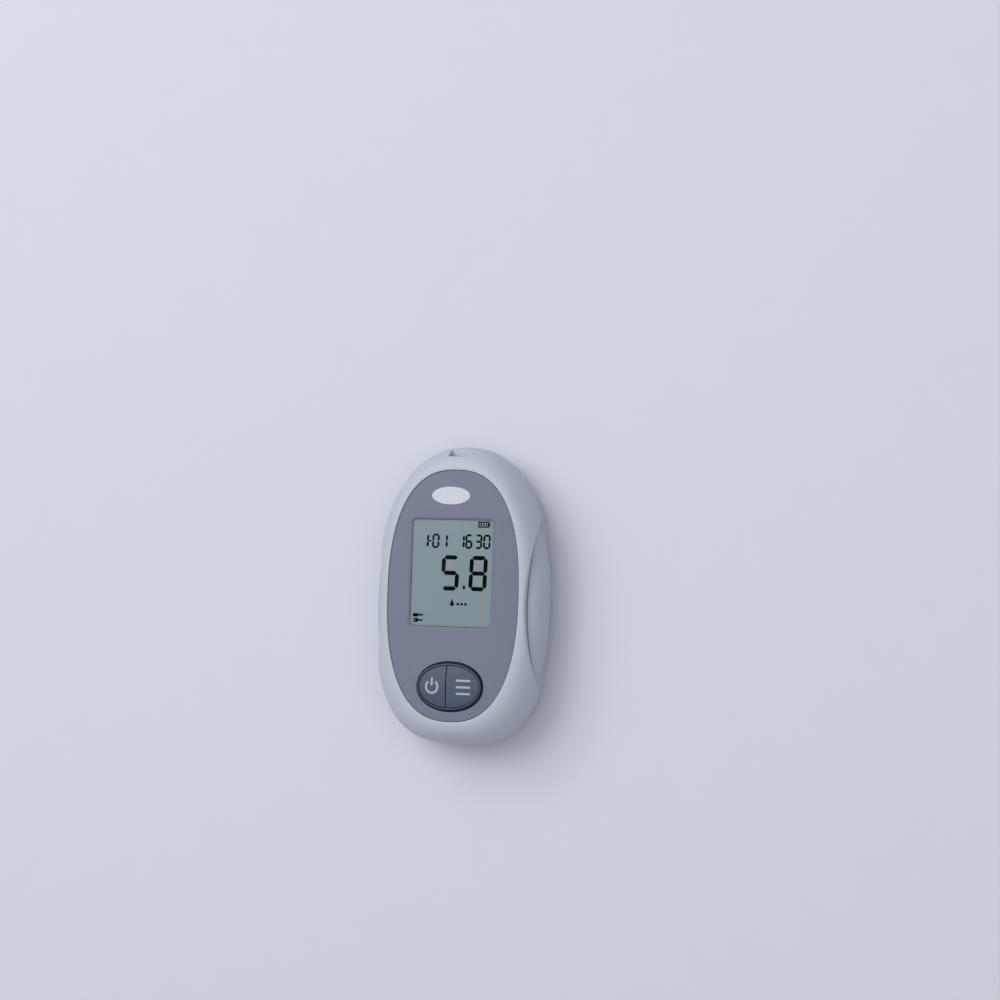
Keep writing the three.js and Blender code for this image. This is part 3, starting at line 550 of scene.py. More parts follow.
def grip_body(side):
    """The pad: a crowned face, a rounded edge and a flat inside."""
    outside = [(share, 0, grip_surface(share)) for share in PATCH_SHARES]
    rim = grip_surface(GRIP_EDGE_SHARE)
    edge = [(1, -GRIP_EDGE * (1 - u), rim - GRIP_EDGE * (1 - v)) for v, u in arc()]
    inside = [(share, 0, -GRIP_DEPTH) for share in (1, *PATCH_SHARES[::-3], 0)]
    return patch("grip", side, outside + edge + inside)


def grip_pocket(side):
    """What a grip's seat and the soft flare round it take out of the shells."""
    outside = [(share, GRIP_GAP + CREASE_WIDTH, OVERRUN) for share in (*PATCH_SHARES, 1)]
    shares = [i / CREASE_STEPS for i in range(CREASE_STEPS + 1)]
    crease = [(1, GRIP_GAP + CREASE_WIDTH * (1 - s), CREASE_LIFT - CREASE_DEPTH * s ** CREASE_POWER)
              for s in shares]
    groove = [(1, GRIP_GAP, -GRIP_DEPTH - GRIP_GROOVE)]
    inside = [(share, GRIP_GAP, -GRIP_DEPTH - FIT) for share in PATCH_SHARES[::-1]]
    return patch("tool", side, outside + crease + groove + inside)


def grip_backer(side):
    """The wall behind a grip's seat."""
    outside = [(share, GRIP_WALL, OVERRUN) for share in (*PATCH_SHARES[::2], 1)]
    inside = [(share, GRIP_WALL, -GRIP_DEPTH - FIT - GRIP_WALL) for share in (1, *PATCH_SHARES[::-2], 0)]
    return patch("tool", side, outside + inside)


# Shells
def prism(ring_at, bottom, top):
    """A solid between two heights of a ring that a function gives for a height."""
    return solid("tool", [ring_at(bottom), ring_at(top)])


def window_ring(grow, corner):
    """The window's ring, grown by a margin, for any height."""
    return lambda z: rounded_rectangle(WINDOW[0] + 2 * grow, WINDOW[1] + 2 * grow, corner, WINDOW_CENTRE, z)


def key_ring(side, end=None):
    """The keys' oval, grown at its sides and its ends, for any height."""
    end = side if end is None else end
    size = (KEY_OVAL[0] + 2 * side, KEY_OVAL[1] + 2 * end)
    return lambda z: oval(*size, KEY_POWER, z, KEY_Y, KEY_POINTS)


def copy_of(piece):
    twin = piece.copy()
    twin.data = piece.data.copy()
    bpy.context.scene.collection.objects.link(twin)
    return twin


def front_shell():
    """The hollow dome with its screw bosses, strip sleeve and openings."""
    shell = front_outside()
    solids = [common(grip_backer(side), copy_of(shell)) for side in SIDES.values()]
    solids.append(common(box(
        (-SLEEVE_WIDTH / 2, NOTCH_WALL_Y - SLEEVE_DEPTH, NOTCH_FLOOR - SLEEVE_WALL),
        (SLEEVE_WIDTH / 2, BODY_LENGTH, NOTCH_FLOOR + SLOT[1] + SLEEVE_WALL),
    ), copy_of(shell)))
    solids += [common(cylinder(BOSS_RADIUS, BOARD_TOP, SEAT, x, y), copy_of(shell)) for x, y in SCREWS]
    cut(shell, half_space(INNER, 1))
    joined(shell, *solids)
    notch = softened(box(
        (-NOTCH_WIDTH / 2, NOTCH_WALL_Y, NOTCH_FLOOR),
        (NOTCH_WIDTH / 2, BODY_LENGTH, BODY_HEIGHT + OVERRUN),
    ), NOTCH_CORNER, NOTCH_CORNER_STEPS)
    slot = box(
        (-SLOT[0] / 2, NOTCH_WALL_Y - SLEEVE_DEPTH - OVERRUN, NOTCH_FLOOR),
        (SLOT[0] / 2, BODY_LENGTH, NOTCH_FLOOR + SLOT[1]),
    )
    flange = LENS_FLANGE + FIT
    holes = [cylinder(SCREW_RADIUS + FIT, BOARD_TOP - OVERRUN, SCREW_TIP + FIT, x, y) for x, y in SCREWS]
    cut(
        shell,
        prism(window_ring(flange, WINDOW_CORNER + FIT), SEAT - LENS_FLANGE_HEIGHT, BODY_HEIGHT),
        prism(window_ring(APERTURE_MARGIN, WINDOW_CORNER), CEILING - OVERRUN, BODY_HEIGHT),
        prism(key_ring(FIT), CEILING - OVERRUN, BODY_HEIGHT),
        *[grip_pocket(side) for side in SIDES.values()],
        *holes,
        notch,
        slot,
    )
    return finished(shell, "front_shell_skin", HOUSING, SHELL, ["front_shell"])


def rear_shell():
    """The hollow back with the battery tray, the door's rails and the screw bosses."""
    shell = rear_outside()
    backers = [common(grip_backer(side), copy_of(shell)) for side in SIDES.values()]
    fittings = joined(
        box((-TRAY_HALF - TRAY_WALL, TRAY_NEAR - TRAY_WALL, BACK_WALL / 2),
            (TRAY_HALF + TRAY_WALL, TRAY_FAR + TRAY_WALL, TRAY_TOP)),
        box((-RAIL_HALF, TRAY_NEAR - TRAY_END, BACK_WALL / 2), (RAIL_HALF, TRAY_FAR + TRAY_WALL, RAIL_TOP)),
        *[cylinder(REAR_BOSS_RADIUS, BACK_WALL / 2, PARTING, x, y) for x, y in SCREWS],
        *[cylinder(BOSS_RADIUS, BACK_WALL / 2, BOARD_BOTTOM, x, y) for x, y in SCREWS],
    )
    common(fittings, joined(copy_of(shell), half_space(CLEAR, 1)))
    cut(shell, half_space(INNER, -1))
    joined(shell, fittings, *backers)
    tab_slots = [box(
        (side * CELL_X - TAB_WIDTH / 2 - FIT, TRAY_FAR - PLATE - FIT, TRAY_CEILING - FIT),
        (side * CELL_X + TAB_WIDTH / 2 + FIT, TRAY_FAR + FIT, TRAY_TOP + OVERRUN),
    ) for side in SIDES.values()]
    cut(
        shell,
        box((-TRAY_HALF, TRAY_NEAR, -OVERRUN), (TRAY_HALF, TRAY_FAR, TRAY_CEILING)),
        box((-TRAY_HALF, -BODY_LENGTH, -OVERRUN), (TRAY_HALF, DOOR_FAR + FIT, DOOR_TOP + FIT)),
        box((-GROOVE_HALF, -BODY_LENGTH, TONGUE_BOTTOM - FIT), (GROOVE_HALF, DOOR_FAR + FIT, DOOR_TOP + FIT)),
        *[grip_pocket(side) for side in SIDES.values()],
        *tab_slots,
        *[cylinder(SCREW_HEAD_RADIUS + FIT, -OVERRUN, SCREW_SEAT, x, y) for x, y in SCREWS],
        *[cylinder(SCREW_RADIUS + FIT, -OVERRUN, BOARD_TOP, x, y) for x, y in SCREWS],
    )
    return finished(shell, "rear_shell_skin", HOUSING, SHELL, ["rear_shell"])


front_shell()
rear_shell()
for side_name, side in SIDES.items():
    finished(grip_body(side), f"{side_name}_grip_skin", HOUSING, GRIP_WITH_PAINTED_SHADE, [f"{side_name}_grip"])


# Face panel, badge and lens
def face_panel():
    """The oval panel with its chamfered window and the opening for the keys."""
    rings = [panel_ring(POCKET, PANEL_SKIN_GAP, SEAT)]
    for across, along in arc():
        inset = PANEL_SKIN_GAP + EDGE_ROUND * (1 - across)
        rings.append(panel_ring(POCKET, inset, PANEL_TOP - EDGE_ROUND * (1 - along)))
    wide = 2 * CHAMFER_WIDTH
    window = [
        window_ring(0, WINDOW_CORNER)(SEAT - OVERRUN),
        window_ring(0, WINDOW_CORNER)(PANEL_TOP - CHAMFER_DEPTH),
        window_ring(wide, WINDOW_CORNER + wide)(PANEL_TOP + CHAMFER_DEPTH),
    ]
    hole = key_ring(FIT + BEZEL_SIDE + BEZEL_SEAM, FIT + BEZEL_END + BEZEL_SEAM)
    plate = cut(solid("panel", rings), solid("tool", window), prism(hole, SEAT - OVERRUN, PANEL_TOP + OVERRUN))
    return finished(plate, "face_panel_skin", HOUSING, PANEL, ["face_panel"],
                    PANEL_SHARP_ANGLE)


def lens():
    """The clear window: a flange under the panel, a rounded front and a hollow behind it."""
    top = PANEL_TOP - LENS_DROP
    edge = -LENS_GAP
    rings = [
        window_ring(LENS_FLANGE, WINDOW_CORNER)(SEAT - LENS_FLANGE_HEIGHT),
        window_ring(LENS_FLANGE, WINDOW_CORNER)(SEAT),
        window_ring(edge, WINDOW_CORNER + edge)(SEAT),
    ]
    for across, along in arc():
        inset = EDGE_ROUND * (1 - across)
        rings.append(window_ring(edge - inset, WINDOW_CORNER + edge)(top - EDGE_ROUND * (1 - along)))
    hollow = edge - LENS_SKIRT
    cavity = prism(window_ring(hollow, WINDOW_CORNER + hollow), SEAT - OVERRUN, top - LENS_SHEET)
    cover = cut(solid("lens", rings), cavity)
    return finished(cover, "lcd_lens_skin", HOUSING, LENS, ["lcd_lens"])


BADGE_CENTRE = (-1.6, 31.8)
BADGE_SIZE = (13.0, 5.7)
BADGE_HEIGHT = 0.05
BADGE_POINTS = 96


def badge():
    """The bare oval film on the panel, with a softened edge."""
    rings = []
    for inset, height in ((0, -EDGE_ROUND), (0, BADGE_HEIGHT / 2), (BADGE_HEIGHT / 2, BADGE_HEIGHT)):
        size = smaller(BADGE_SIZE, inset)
        ring = oval(*size, 2, PANEL_TOP + height, BADGE_CENTRE[1], BADGE_POINTS)
        rings.append([(x + BADGE_CENTRE[0], y, z) for x, y, z in ring])
    return finished(solid("badge", rings), "bare_badge", HOUSING, BADGE)


face_panel()
lens()
badge()

# Display: front glass, reflector, and segments and plain pictograms on top
GLASS_TOP = 21.25
REFLECTOR_TOP = 21.3
REFLECTOR = (26.5, 33.1)
REFLECTOR_CENTRE = (-0.65, 6.87)
REFLECTOR_CORNER = 1.0
GLASS_MARGIN = 0.03
INK_SUNK = 0.01
INK_HEIGHT = 0.03
INK_BOTTOM = REFLECTOR_TOP - INK_SUNK
INK_TOP = REFLECTOR_TOP + INK_HEIGHT


def display_front():
    """The display's glass and the reflector under its segments."""
    hollow = -LENS_GAP - LENS_SKIRT - GLASS_MARGIN
    glass = prism(window_ring(hollow, WINDOW_CORNER + hollow), CEILING, GLASS_TOP)
    finished(glass, "lcd_front_glass", HOUSING, DISPLAY_EDGE)
    reflector = prism(lambda z: rounded_rectangle(*REFLECTOR, REFLECTOR_CORNER, REFLECTOR_CENTRE, z),
                      GLASS_TOP, REFLECTOR_TOP)
    finished(reflector, "lcd_reflector", HOUSING, DISPLAY)


SEGMENT_ENDS = {
    "a": ((0, 2), (1, 2)), "b": ((1, 2), (1, 1)), "c": ((1, 1), (1, 0)), "d": ((0, 0), (1, 0)),
    "e": ((0, 1), (0, 0)), "f": ((0, 2), (0, 1)), "g": ((0, 1), (1, 1)),
}
DIGIT_SEGMENTS = {"0": "abcdef", "1": "bc", "3": "abcdg", "5": "acdfg", "6": "acdefg", "8": "abcdefg"}
SLANT = 0.03


def outline_prism(outline, bottom=INK_BOTTOM, top=INK_TOP):
    return solid("ink", [[(x, y, z) for x, y in outline] for z in (bottom, top)])


def bar(start, end, thickness, gap=0.0):
    """The outline of a bar with pointed ends, kept short of its two ends by a gap."""
    start, end = Vector(start), Vector(end)
    along = (end - start).normalized()
    across = Vector((-along.y, along.x)) * thickness / 2
    reach = along * thickness / 2
    first, last = start + along * gap, end - along * gap
    near, far = first + reach, last - reach
    return [first, near + across, far + across, last, far - across, near - across]


def digit(shape, low, size, thickness, gap):
    """Outlines of a seven-segment character whose box starts at a low corner."""
    inner = (size[0] - thickness, (size[1] - thickness) / 2)
    outlines = []
    for name in DIGIT_SEGMENTS[shape]:
        ends = [(low[0] + thickness / 2 + inner[0] * u, low[1] + thickness / 2 + inner[1] * v)
                for u, v in SEGMENT_ENDS[name]]
        slanted = [(x + SLANT * (y - low[1]), y) for x, y in ends]
        outlines.append(bar(*slanted, thickness, gap))
    return outlines


def rectangle(x, y, width, height):
    return [(x, y), (x + width, y), (x + width, y + height), (x, y + height)]


SMALL_SIZE = (2.5, 4.65)
SMALL_THICKNESS = 0.68
SMALL_GAP = 0.03
SMALL_Y = 14.85
SMALL_ROW = (("1", -11.45), ("0", -7.8), ("1", -4.95), ("1", 0.8), ("6", 3.5), ("3", 6.8), ("0", 9.6))
DASH = ((-9.1, 17.15), (-7.9, 17.15))
DASH_THICKNESS = 0.55
BIG_SIZE = (6.1, 11.3)
BIG_THICKNESS = 1.35
BIG_GAP = 0.1
BIG_Y = 1.34
BIG_ROW = (("5", -4.45), ("8", 5.05))
POINT = (3.2, 1.9, 0.8, 1.15)
BATTERY_ICON = (7.85, 21.7, 3.7, 1.95)
BATTERY_NUB = (0.35, 0.95)
BATTERY_BARS = 3
BATTERY_BAR = (0.5, 0.9)
BATTERY_INSET_SHARE = 1.5
ICON_STROKE = 0.42
KNIFE = ((-13.6, -6.6), (-13.2, -6.15), (-11.9, -6.2), (-11.6, -6.45), (-10.1, -6.45), (-10.1, -7.0),
         (-11.6, -7.0), (-11.9, -7.3), (-13.2, -7.3), (-13.6, -7.1))
FORK_Y = -8.4
FORK_TINES = (0.5, 0.0, -0.5)
FORK_TINE = (-13.5, 0.95, 0.3)
FORK_HEAD = ((-12.7, 0.66), (-12.2, 0.66), (-11.6, 0.27), (-10.2, 0.26), (-10.2, -0.26), (-11.6, -0.27),
             (-12.2, -0.66), (-12.7, -0.66))
DROP_CENTRE = (-0.3, -2.95)
DROP_RADIUS = 0.68
DROP_DRAW = 0.95
DROP_DRAW_POWER = 3
DROP_PINCH_SHARE = 0.45
DROP_POINTS = 24
LEVEL_MARKS = (1.3, 2.6, 3.9)
LEVEL_MARK = (0.8, 0.8)


def drop_outline():
    """A drop: a circle drawn out to a tip."""
    points = []
    for i in range(DROP_POINTS):
        turn = 2 * math.pi * i / DROP_POINTS
        rise = max(math.sin(turn), 0)
        across = DROP_RADIUS * math.cos(turn) * (1 - DROP_PINCH_SHARE * rise)
        along = DROP_RADIUS * math.sin(turn) + DROP_DRAW * rise ** DROP_DRAW_POWER
        points.append((DROP_CENTRE[0] + across, DROP_CENTRE[1] + along))
    return points


def battery_outlines():
    """A battery seen from the side: a frame, a nub and bars for its charge."""
    x, y, width, height = BATTERY_ICON
    outlines = [
        rectangle(x, y, width, ICON_STROKE),
        rectangle(x, y + height - ICON_STROKE, width, ICON_STROKE),
        rectangle(x, y, ICON_STROKE, height),
        rectangle(x + width - ICON_STROKE, y, ICON_STROKE, height),
        rectangle(x + width, y + (height - BATTERY_NUB[1]) / 2, *BATTERY_NUB),
    ]
    bar_width, pitch = BATTERY_BAR
    start = x + (width - bar_width - (BATTERY_BARS - 1) * pitch) / 2
    inset = BATTERY_INSET_SHARE * ICON_STROKE
    for i in range(BATTERY_BARS):
        outlines.append(rectangle(start + i * pitch, y + inset, bar_width, height - 2 * inset))
    return outlines


def meal_outlines():
    """A knife over a fork."""
    start, length, width = FORK_TINE
    outlines = [KNIFE[::-1], [(x, FORK_Y + y) for x, y in FORK_HEAD[::-1]]]
    outlines += [rectangle(start, FORK_Y + offset - width / 2, length, width) for offset in FORK_TINES]
    return outlines


def display_ink():
    """The display's numbers and plain pictograms."""
    outlines = []
    for shape, x in SMALL_ROW:
        outlines += digit(shape, (x, SMALL_Y), SMALL_SIZE, SMALL_THICKNESS, SMALL_GAP)
    outlines.append(bar(*DASH, DASH_THICKNESS))
    for shape, x in BIG_ROW:
        outlines += digit(shape, (x, BIG_Y), BIG_SIZE, BIG_THICKNESS, BIG_GAP)
    outlines.append(rectangle(*POINT))
    outlines += battery_outlines() + meal_outlines()
    outlines.append(drop_outline())
    outlines += [rectangle(x, DROP_CENTRE[1] - LEVEL_MARK[1] / 2, *LEVEL_MARK) for x in LEVEL_MARKS]
    return [outline_prism(outline) for outline in outlines]


def merged(pieces):
    """One object from several, each kept as its own closed body."""
    work = bmesh.new()
    for piece in pieces:
        work.from_mesh(piece.data)
    mesh = bpy.data.meshes.new("merged")
    work.to_mesh(mesh)
    work.free()
    for piece in pieces:
        bpy.data.objects.remove(piece)
    made = bpy.data.objects.new("merged", mesh)
    bpy.context.scene.collection.objects.link(made)
    return made


display_front()
finished(merged(display_ink()), "display_segments", HOUSING, SEGMENT)

# Keys, their bezel and plain legends
def crown(share):
    """The keys' height at a share of the way from their middle to their rim."""
    return KEY_RIM_TOP + KEY_CROWN * (1 - share ** 2)


def key_form(lift=0.0):
    """Both keys in one: a flange, a rounded rim and a shallow crown."""
    flange = key_ring(KEY_FLANGE)
    rings = [flange(KEY_FLANGE_BOTTOM), flange(KEY_FLANGE_TOP), key_ring(0)(KEY_FLANGE_TOP)]
    top = crown(KEY_RIM_SHARE) + lift
    for across, along in arc(FINE_ROUND_STEPS):
        rings.append(key_ring(-KEY_ROUND * (1 - across))(top - KEY_ROUND * (1 - along)))
    for i in range(KEY_TOP_STEPS):
        share = KEY_TOP_SHARE * (1 - i / KEY_TOP_STEPS)
        size = (KEY_OVAL[0] * share, KEY_OVAL[1] * share)
        rings.append(oval(*size, KEY_POWER, crown(share) + lift, KEY_Y, KEY_POINTS))
    rings.append([(0, KEY_Y, crown(0) + lift)])
    return solid("key", rings)


def key(side):
    """One half of the oval, with a pocket over its switch."""
    split = KEY_SPLIT_X + side * KEY_SPLIT_GAP / 2
    beyond = split - side * KEY_OVAL[0]
    other = box((min(split, beyond), -BODY_LENGTH, 0), (max(split, beyond), BODY_LENGTH, BODY_HEIGHT + OVERRUN))
    centre = (KEY_SPLIT_X + side * KEY_OVAL[0] / 2) / 2
    pocket = box(
        (centre - KEY_POCKET[0] / 2, KEY_Y - KEY_POCKET[1] / 2, 0),
        (centre + KEY_POCKET[0] / 2, KEY_Y + KEY_POCKET[1] / 2, KEY_POCKET_TOP),
    )
    return softened(cut(key_form(), other, pocket), KEY_SPLIT_ROUND)


def bezel():
    """The ring round the keys, coloured dark as painted shade for the shadowed gap at its outer edge, and the
    lighter trim on top of it.
    """
    gap = BEZEL_GAP - FIT

    def ring(side, end, z):
        return key_ring(FIT + side, FIT + end)(z)

    outside = [ring(BEZEL_SIDE, BEZEL_END, SEAT), ring(BEZEL_SIDE, BEZEL_END, PANEL_TOP)]
    trim_edge = (BEZEL_SIDE - TRIM_INSET[0], BEZEL_END - TRIM_INSET[1])
    outside.append(ring(*trim_edge, TRIM_BOTTOM))
    inside = [ring(gap, gap, TRIM_BOTTOM), ring(gap, gap, SEAT)]
    base = solid("bezel", outside + inside, closed=True)
    finished(base, "key_bezel_skin", HOUSING, BEZEL_PAINTED_SHADE, ["key_bezel"])
    trim = [ring(*trim_edge, TRIM_BOTTOM)]
    for across, along in arc():
        edge = [place - BEZEL_ROUND * (1 - across) for place in trim_edge]
        trim.append(ring(*edge, BEZEL_TOP - BEZEL_ROUND * (1 - along)))
    bevel = EDGE_ROUND / 2
    trim.append(ring(gap + bevel, gap + bevel, BEZEL_TOP))
    trim += [ring(gap, gap, BEZEL_TOP - bevel), ring(gap, gap, TRIM_BOTTOM)]
    finished(solid("trim", trim, closed=True), "key_bezel_trim", HOUSING, TRIM)


LEGEND_BOTTOM = 22.2
LEGEND_LIFT = 0.03
LEGEND_STROKE = 0.68
LEGEND_PLACES = {"left": (-5.7, -29.55), "right": (5.0, -29.45)}
POWER_RADIUS = 2.35
POWER_OPENING = math.radians(38)
POWER_BAR = (0.4, 2.9)
MENU_WIDTH = 4.7
MENU_PITCH = 2.1
LEGEND_STEPS = 40


def upright(outline):
    return outline_prism(outline, LEGEND_BOTTOM, BODY_HEIGHT + OVERRUN)


def power_legend(x, y):
    """An open ring with a bar in its opening."""
    turns = [math.pi / 2 + mix(POWER_OPENING, 2 * math.pi - POWER_OPENING, i / LEGEND_STEPS)
             for i in range(LEGEND_STEPS + 1)]
    outline = [(x + r * math.cos(t), y + r * math.sin(t)) for r, span in
               ((POWER_RADIUS, turns), (POWER_RADIUS - LEGEND_STROKE, turns[::-1])) for t in span]
    stem = rectangle(x - LEGEND_STROKE / 2, y + POWER_BAR[0], LEGEND_STROKE, POWER_BAR[1] - POWER_BAR[0])
    return [upright(outline), upright(stem)]


def menu_legend(x, y):
    """Three bars, one above the other."""
    left, low = x - MENU_WIDTH / 2, y - LEGEND_STROKE / 2
    return [upright(rectangle(left, low + row * MENU_PITCH, MENU_WIDTH, LEGEND_STROKE)) for row in (-1, 0, 1)]


bezel()
for side_name, side in SIDES.items():
    group = f"{side_name}_key_group"
    finished(key(side), f"{side_name}_key_skin", group, KEYS, [f"{side_name}_key"])
    draw = power_legend if side < 0 else menu_legend
    strokes = [common(stroke, key_form(LEGEND_LIFT)) for stroke in draw(*LEGEND_PLACES[side_name])]
    finished(merged(strokes), f"{side_name}_key_legend", group, LEGEND)


# Battery door
def capsule(low, high, y, z, radius):
    """A round bar along X with round ends."""
    turns = [2 * math.pi * i / GROOVE_POINTS for i in range(GROOVE_POINTS)]
    rings = [[(low - radius, y, z)]]
    for across, along in arc(FINE_ROUND_STEPS)[1:]:
        x, reach = low - radius * across, radius * along
        rings.append([(x, y + reach * math.cos(t), z + reach * math.sin(t)) for t in turns])
    mirrored = [[(low + high - x, cy, cz) for x, cy, cz in ring] for ring in rings[::-1]]
    return solid("tool", rings + mirrored)


def battery_door():
    """The sliding door with its tongues, finger grooves and the recess for the label."""
    plate = joined(
        box((-DOOR_HALF, -BODY_LENGTH, DOOR_BOTTOM), (DOOR_HALF, DOOR_FAR, DOOR_TOP)),
        box((-TONGUE_HALF, -BODY_LENGTH, TONGUE_BOTTOM), (TONGUE_HALF, DOOR_FAR, DOOR_TOP)),
    )
    common(plate, half_space(OUTER, -1, RING_POINTS, REAR_LEVELS))
    reach = GROOVE_LENGTH / 2 - GROOVE_RADIUS
    grooves = [capsule(-reach, reach, GROOVE_START + i * GROOVE_PITCH, DOOR_BOTTOM, GROOVE_RADIUS)
               for i in range(GROOVE_COUNT)]
    size = (LABEL[0] + 2 * FIT, LABEL[1] + 2 * FIT, LABEL_CORNER + FIT)
    recess = prism(lambda z: rounded_rectangle(*size, (0, LABEL_Y), z), -OVERRUN, LABEL_TOP)
    cut(plate, *grooves, recess)
    return finished(plate, "battery_door_skin", DOOR, SHELL, ["battery_door"])


battery_door()

# Cells, springs and screws
CELL_EDGE = 0.5
CELL_NUB = (1.9, 1.0)
CELL_NUB_BEVEL = 0.2
SLEEVE_FILM = 0.08
SLEEVE_NEAR = 0.25
SLEEVE_FAR = 43.2
LATHE_POINTS = 64

# The sleeve's section: how far its corners lie outside the can, and how far from the sleeve's near or far end
SLEEVE_NEAR_OUTSIDE = ((-0.6, -0.2), (0.0, 0.0), (SLEEVE_FILM, 0.4))
SLEEVE_FAR_CORNERS = ((SLEEVE_FILM, -0.4), (0.0, 0.25), (-0.6, 0.4), (-0.6, -0.1), (-0.1, -0.5))
SLEEVE_NEAR_INSIDE = ((-0.1, 0.6), (-0.6, 0.2))


def turned(name, profile, count=LATHE_POINTS):
    """A solid of revolution about the Z axis from (radius, height) pairs that start and end on the axis."""
    return solid(name, [circle(r, z, count=count) if r else [(0.0, 0.0, z)] for r, z in profile])


def placed(piece, origin, turn=None):
    """Turns a piece's mesh about an axis and moves it."""
    if turn:
        piece.data.transform(Matrix.Rotation(math.radians(turn[0]), 4, turn[1]))
    piece.data.transform(Matrix.Translation(Vector(origin) * MM))
    return piece


def cell(side_name, side):
    """An AAA cell: steel can, printed sleeve that wraps both shoulders, and a nub."""
    can_radius = CELL_RADIUS - SLEEVE_FILM
    shoulder = CELL_LENGTH - CELL_NUB[1]
    rounding = [(can_radius - CELL_EDGE * (1 - u), CELL_EDGE * (1 - v)) for u, v in arc(FINE_ROUND_STEPS)]
    can = [(0, 0), (can_radius - CELL_EDGE, 0), *rounding[::-1][1:]]
    can += [(radius, shoulder - drop) for radius, drop in rounding]
    can += [(CELL_NUB[0], shoulder), (CELL_NUB[0], CELL_LENGTH - CELL_NUB_BEVEL)]
    can += [(CELL_NUB[0] - CELL_NUB_BEVEL, CELL_LENGTH), (0, CELL_LENGTH)]
    corners = [(out, SLEEVE_NEAR + up) for out, up in SLEEVE_NEAR_OUTSIDE]
    corners += [(out, SLEEVE_FAR + up) for out, up in SLEEVE_FAR_CORNERS]
    corners += [(out, SLEEVE_NEAR + up) for out, up in SLEEVE_NEAR_INSIDE]
    wrap = [circle(can_radius + out, height, count=LATHE_POINTS) for out, height in corners]
    sleeve = solid("sleeve", wrap, closed=True)
    far = TRAY_FAR - PLATE
    near = TRAY_NEAR + PLATE
    origin = (side * CELL_X, far - CELL_LENGTH if side < 0 else near + CELL_LENGTH, CELL_Z)
    turn = (-90 if side < 0 else 90, "X")
    body = placed(turned("can", can), origin, turn)
    finished(body, f"{side_name}_battery_can", HOUSING, CAN, [f"{side_name}_battery"])
    finished(placed(sleeve, origin, turn), f"{side_name}_battery_sleeve", HOUSING, SLEEVE)


COIL_STEPS = 112
WIRE_POINTS = 14


def spring(side_name, side):
    """A conical coil from its plate to the end of the cell."""
    rings = []
    for i in range(COIL_STEPS + 1):
        share = i / COIL_STEPS
        turn = 2 * math.pi * SPRING_TURNS * share
        radius = mix(SPRING_BASE, SPRING_TIP, share) / 2
        height = mix(SPRING_WIRE, SPRING_LENGTH - SPRING_WIRE, share)
        ring = []
        for k in range(WIRE_POINTS):
            around = 2 * math.pi * k / WIRE_POINTS
            reach = radius + SPRING_WIRE / 2 * math.cos(around)
            along = height + SPRING_WIRE / 2 * math.sin(around)
            ring.append((reach * math.cos(turn), along, reach * math.sin(turn)))
        rings.append(ring)
    near, far = TRAY_NEAR + PLATE, TRAY_FAR - PLATE
    origin = (side * CELL_X, near if side < 0 else far, CELL_Z)
    coil = placed(solid("coil", rings), origin, None if side < 0 else (180, "Z"))
    name = f"{side_name}_battery_spring"
    finished(coil, f"{name}_skin", HOUSING, STEEL, [name])


SCREW_HEAD_ROUND = 0.4
SCREW_DRIVE = (2.4, 0.6, 0.7)
SCREW_POINTS = 40
THREAD_PITCH = 0.8
THREAD_DEPTH = 0.18


def screw(number, x, y):
    """A pan head with a cross slot, and a threaded shank that points up."""
    root = SCREW_RADIUS - THREAD_DEPTH
    profile = [(0, SCREW_HEAD_BOTTOM), (SCREW_HEAD_RADIUS - SCREW_HEAD_ROUND, SCREW_HEAD_BOTTOM)]
    for u, v in arc(FINE_ROUND_STEPS)[::-1][1:]:
        radius = SCREW_HEAD_RADIUS - SCREW_HEAD_ROUND * (1 - u)
        profile.append((radius, SCREW_HEAD_BOTTOM + SCREW_HEAD_ROUND * (1 - v)))
    profile += [(SCREW_HEAD_RADIUS, SCREW_SEAT), (root, SCREW_SEAT)]
    height = SCREW_SEAT + THREAD_PITCH
    while height < SCREW_TIP - 2 * THREAD_PITCH:
        profile += [(root, height), (SCREW_RADIUS, height + THREAD_PITCH / 2)]
        height += THREAD_PITCH
    profile += [(root, height), (0, SCREW_TIP)]
    length, width, depth = SCREW_DRIVE
    low, high = SCREW_HEAD_BOTTOM - OVERRUN, SCREW_HEAD_BOTTOM + depth
    slots = [box((-a / 2, -b / 2, low), (a / 2, b / 2, high)) for a, b in ((length, width), (width, length))]
    made = placed(cut(turned("screw", profile, SCREW_POINTS), *slots), (x, y, 0))
    finished(made, f"case_screw_{number}_skin", HOUSING, STEEL, [f"case_screw_{number}"])


for side_name, side in SIDES.items():
    cell(side_name, side)
    spring(side_name, side)
for number, (x, y) in enumerate(SCREWS, 1):
    screw(number, x, y)

# Carried-over CAD nodes
NODE_FINISHES = {
    "lcd_glass": DISPLAY_EDGE, "lcd_holder": HOLDER,
    "zebra_strip_top": CONDUCTIVE, "zebra_strip_bottom": CONDUCTIVE,
    "main_board": BOARD, "buzzer": BLACK, "microcontroller": BLACK,
    "left_switch_body": BLACK, "right_switch_body": BLACK,
    "left_switch_stem": STEEL, "right_switch_stem": STEEL,
    "strip_port": BLACK, "strip_contact_1": GOLD, "strip_contact_2": GOLD, "strip_contact_3": GOLD,
    "bridge_plate": STEEL, "left_contact_plate": STEEL, "right_contact_plate": STEEL,
    "rear_label": FILM,
}
for node, finish in NODE_FINISHES.items():
    for material_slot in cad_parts[node].material_slots:
        material_slot.material = finish

# Floor, light and camera
FLOOR_REACH = 1.5
SKY_LIGHT = (0.418, 0.427, 0.44, 1.0)
SKY_SEEN = srgb(203, 207, 218)

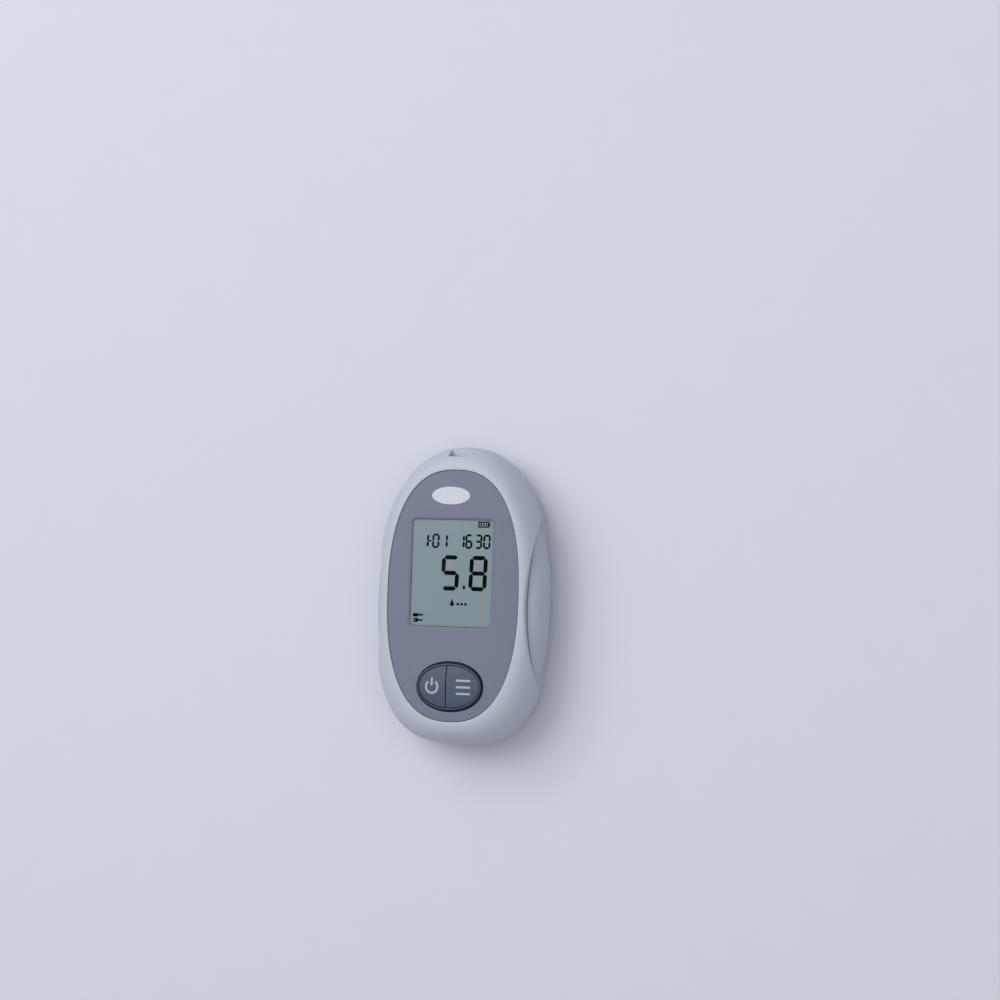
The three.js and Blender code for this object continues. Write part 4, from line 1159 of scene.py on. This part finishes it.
floor_mesh = bpy.data.meshes.new("floor")
floor_corners = [(x * FLOOR_REACH, y * FLOOR_REACH, 0) for x, y in ((-1, -1), (1, -1), (1, 1), (-1, 1))]
floor_mesh.from_pydata(floor_corners, [], [(0, 1, 2, 3)])
floor = bpy.data.objects.new("floor", floor_mesh)
bpy.context.scene.collection.objects.link(floor)
floor.data.materials.append(material("floor_paper", srgb(206, 210, 220), 0.8, mottle=0.01))


def area_light(name, place, size, power):
    """A square soft light, in metres and watts, that faces the meter."""
    lamp = bpy.data.lights.new(name, "AREA")
    lamp.size = size
    lamp.energy = power
    made = bpy.data.objects.new(name, lamp)
    bpy.context.scene.collection.objects.link(made)
    made.location = place
    made.rotation_euler = (-Vector(place)).to_track_quat("-Z", "Y").to_euler()


area_light("key", place=(-0.6, 0.6, 1.1), size=1.1, power=12.0)
area_light("fill", place=(0.45, 0.1, 1.15), size=1.0, power=3.0)

# The world lights the meter, and its own colour shows only to the camera and in reflections and clear plastic
world = bpy.data.worlds.new("studio")
world.use_nodes = True
world_nodes, world_links = world.node_tree.nodes, world.node_tree.links
ray = world_nodes.new("ShaderNodeLightPath")
seen = ray.outputs["Is Camera Ray"]
for kind in ("Is Glossy Ray", "Is Transmission Ray"):
    either = world_nodes.new("ShaderNodeMath")
    either.operation = "MAXIMUM"
    world_links.new(seen, either.inputs[0])
    world_links.new(ray.outputs[kind], either.inputs[1])
    seen = either.outputs[0]
sky = world_nodes.new("ShaderNodeMix")
sky.data_type = "RGBA"
sky.inputs["A"].default_value = SKY_LIGHT
sky.inputs["B"].default_value = SKY_SEEN
world_links.new(seen, sky.inputs["Factor"])
world_links.new(sky.outputs["Result"], world_nodes["Background"].inputs["Color"])
bpy.context.scene.world = world

# Camera: the photograph looks from a little to the right, with the meter low and left in the frame
FRAME_PIXELS = 1000
SENSOR = 36.0
CAMERA_DISTANCE = 900.0
PIXELS_PER_MM = 3.085
CAMERA_YAW = math.radians(20)
CAMERA_PITCH = math.radians(0.5)
CAMERA_ROLL = math.radians(1.8)
CLIP_START = 0.01
TARGET = Vector((0, 0, 11))
TARGET_PIXEL = (464.1, 595.4)

sideways = Vector((math.sin(CAMERA_YAW), 0, math.cos(CAMERA_YAW)))
level_right = Vector((math.cos(CAMERA_YAW), 0, -math.sin(CAMERA_YAW)))
level_up = Vector((0, math.cos(CAMERA_PITCH), 0)) + sideways * math.sin(CAMERA_PITCH)
back = Vector((0, -math.sin(CAMERA_PITCH), 0)) + sideways * math.cos(CAMERA_PITCH)
right = level_right * math.cos(CAMERA_ROLL) + level_up * math.sin(CAMERA_ROLL)
up = level_up * math.cos(CAMERA_ROLL) - level_right * math.sin(CAMERA_ROLL)
eye = TARGET + back * CAMERA_DISTANCE
middle = FRAME_PIXELS / 2
aim = TARGET + right * (middle - TARGET_PIXEL[0]) / PIXELS_PER_MM
aim += up * (TARGET_PIXEL[1] - middle) / PIXELS_PER_MM
away = (eye - aim).normalized()
across = up.cross(away).normalized()
camera = bpy.data.objects.new("camera", bpy.data.cameras.new("camera"))
bpy.context.scene.collection.objects.link(camera)
camera.data.sensor_width = SENSOR
camera.data.lens = PIXELS_PER_MM * CAMERA_DISTANCE * SENSOR / FRAME_PIXELS
camera.data.clip_start = CLIP_START
facing = Matrix((across, away.cross(across), away)).transposed().to_4x4()
camera.matrix_world = Matrix.Translation(eye * MM) @ facing
bpy.context.scene.camera = camera
bpy.context.scene.view_settings.view_transform = "Standard"
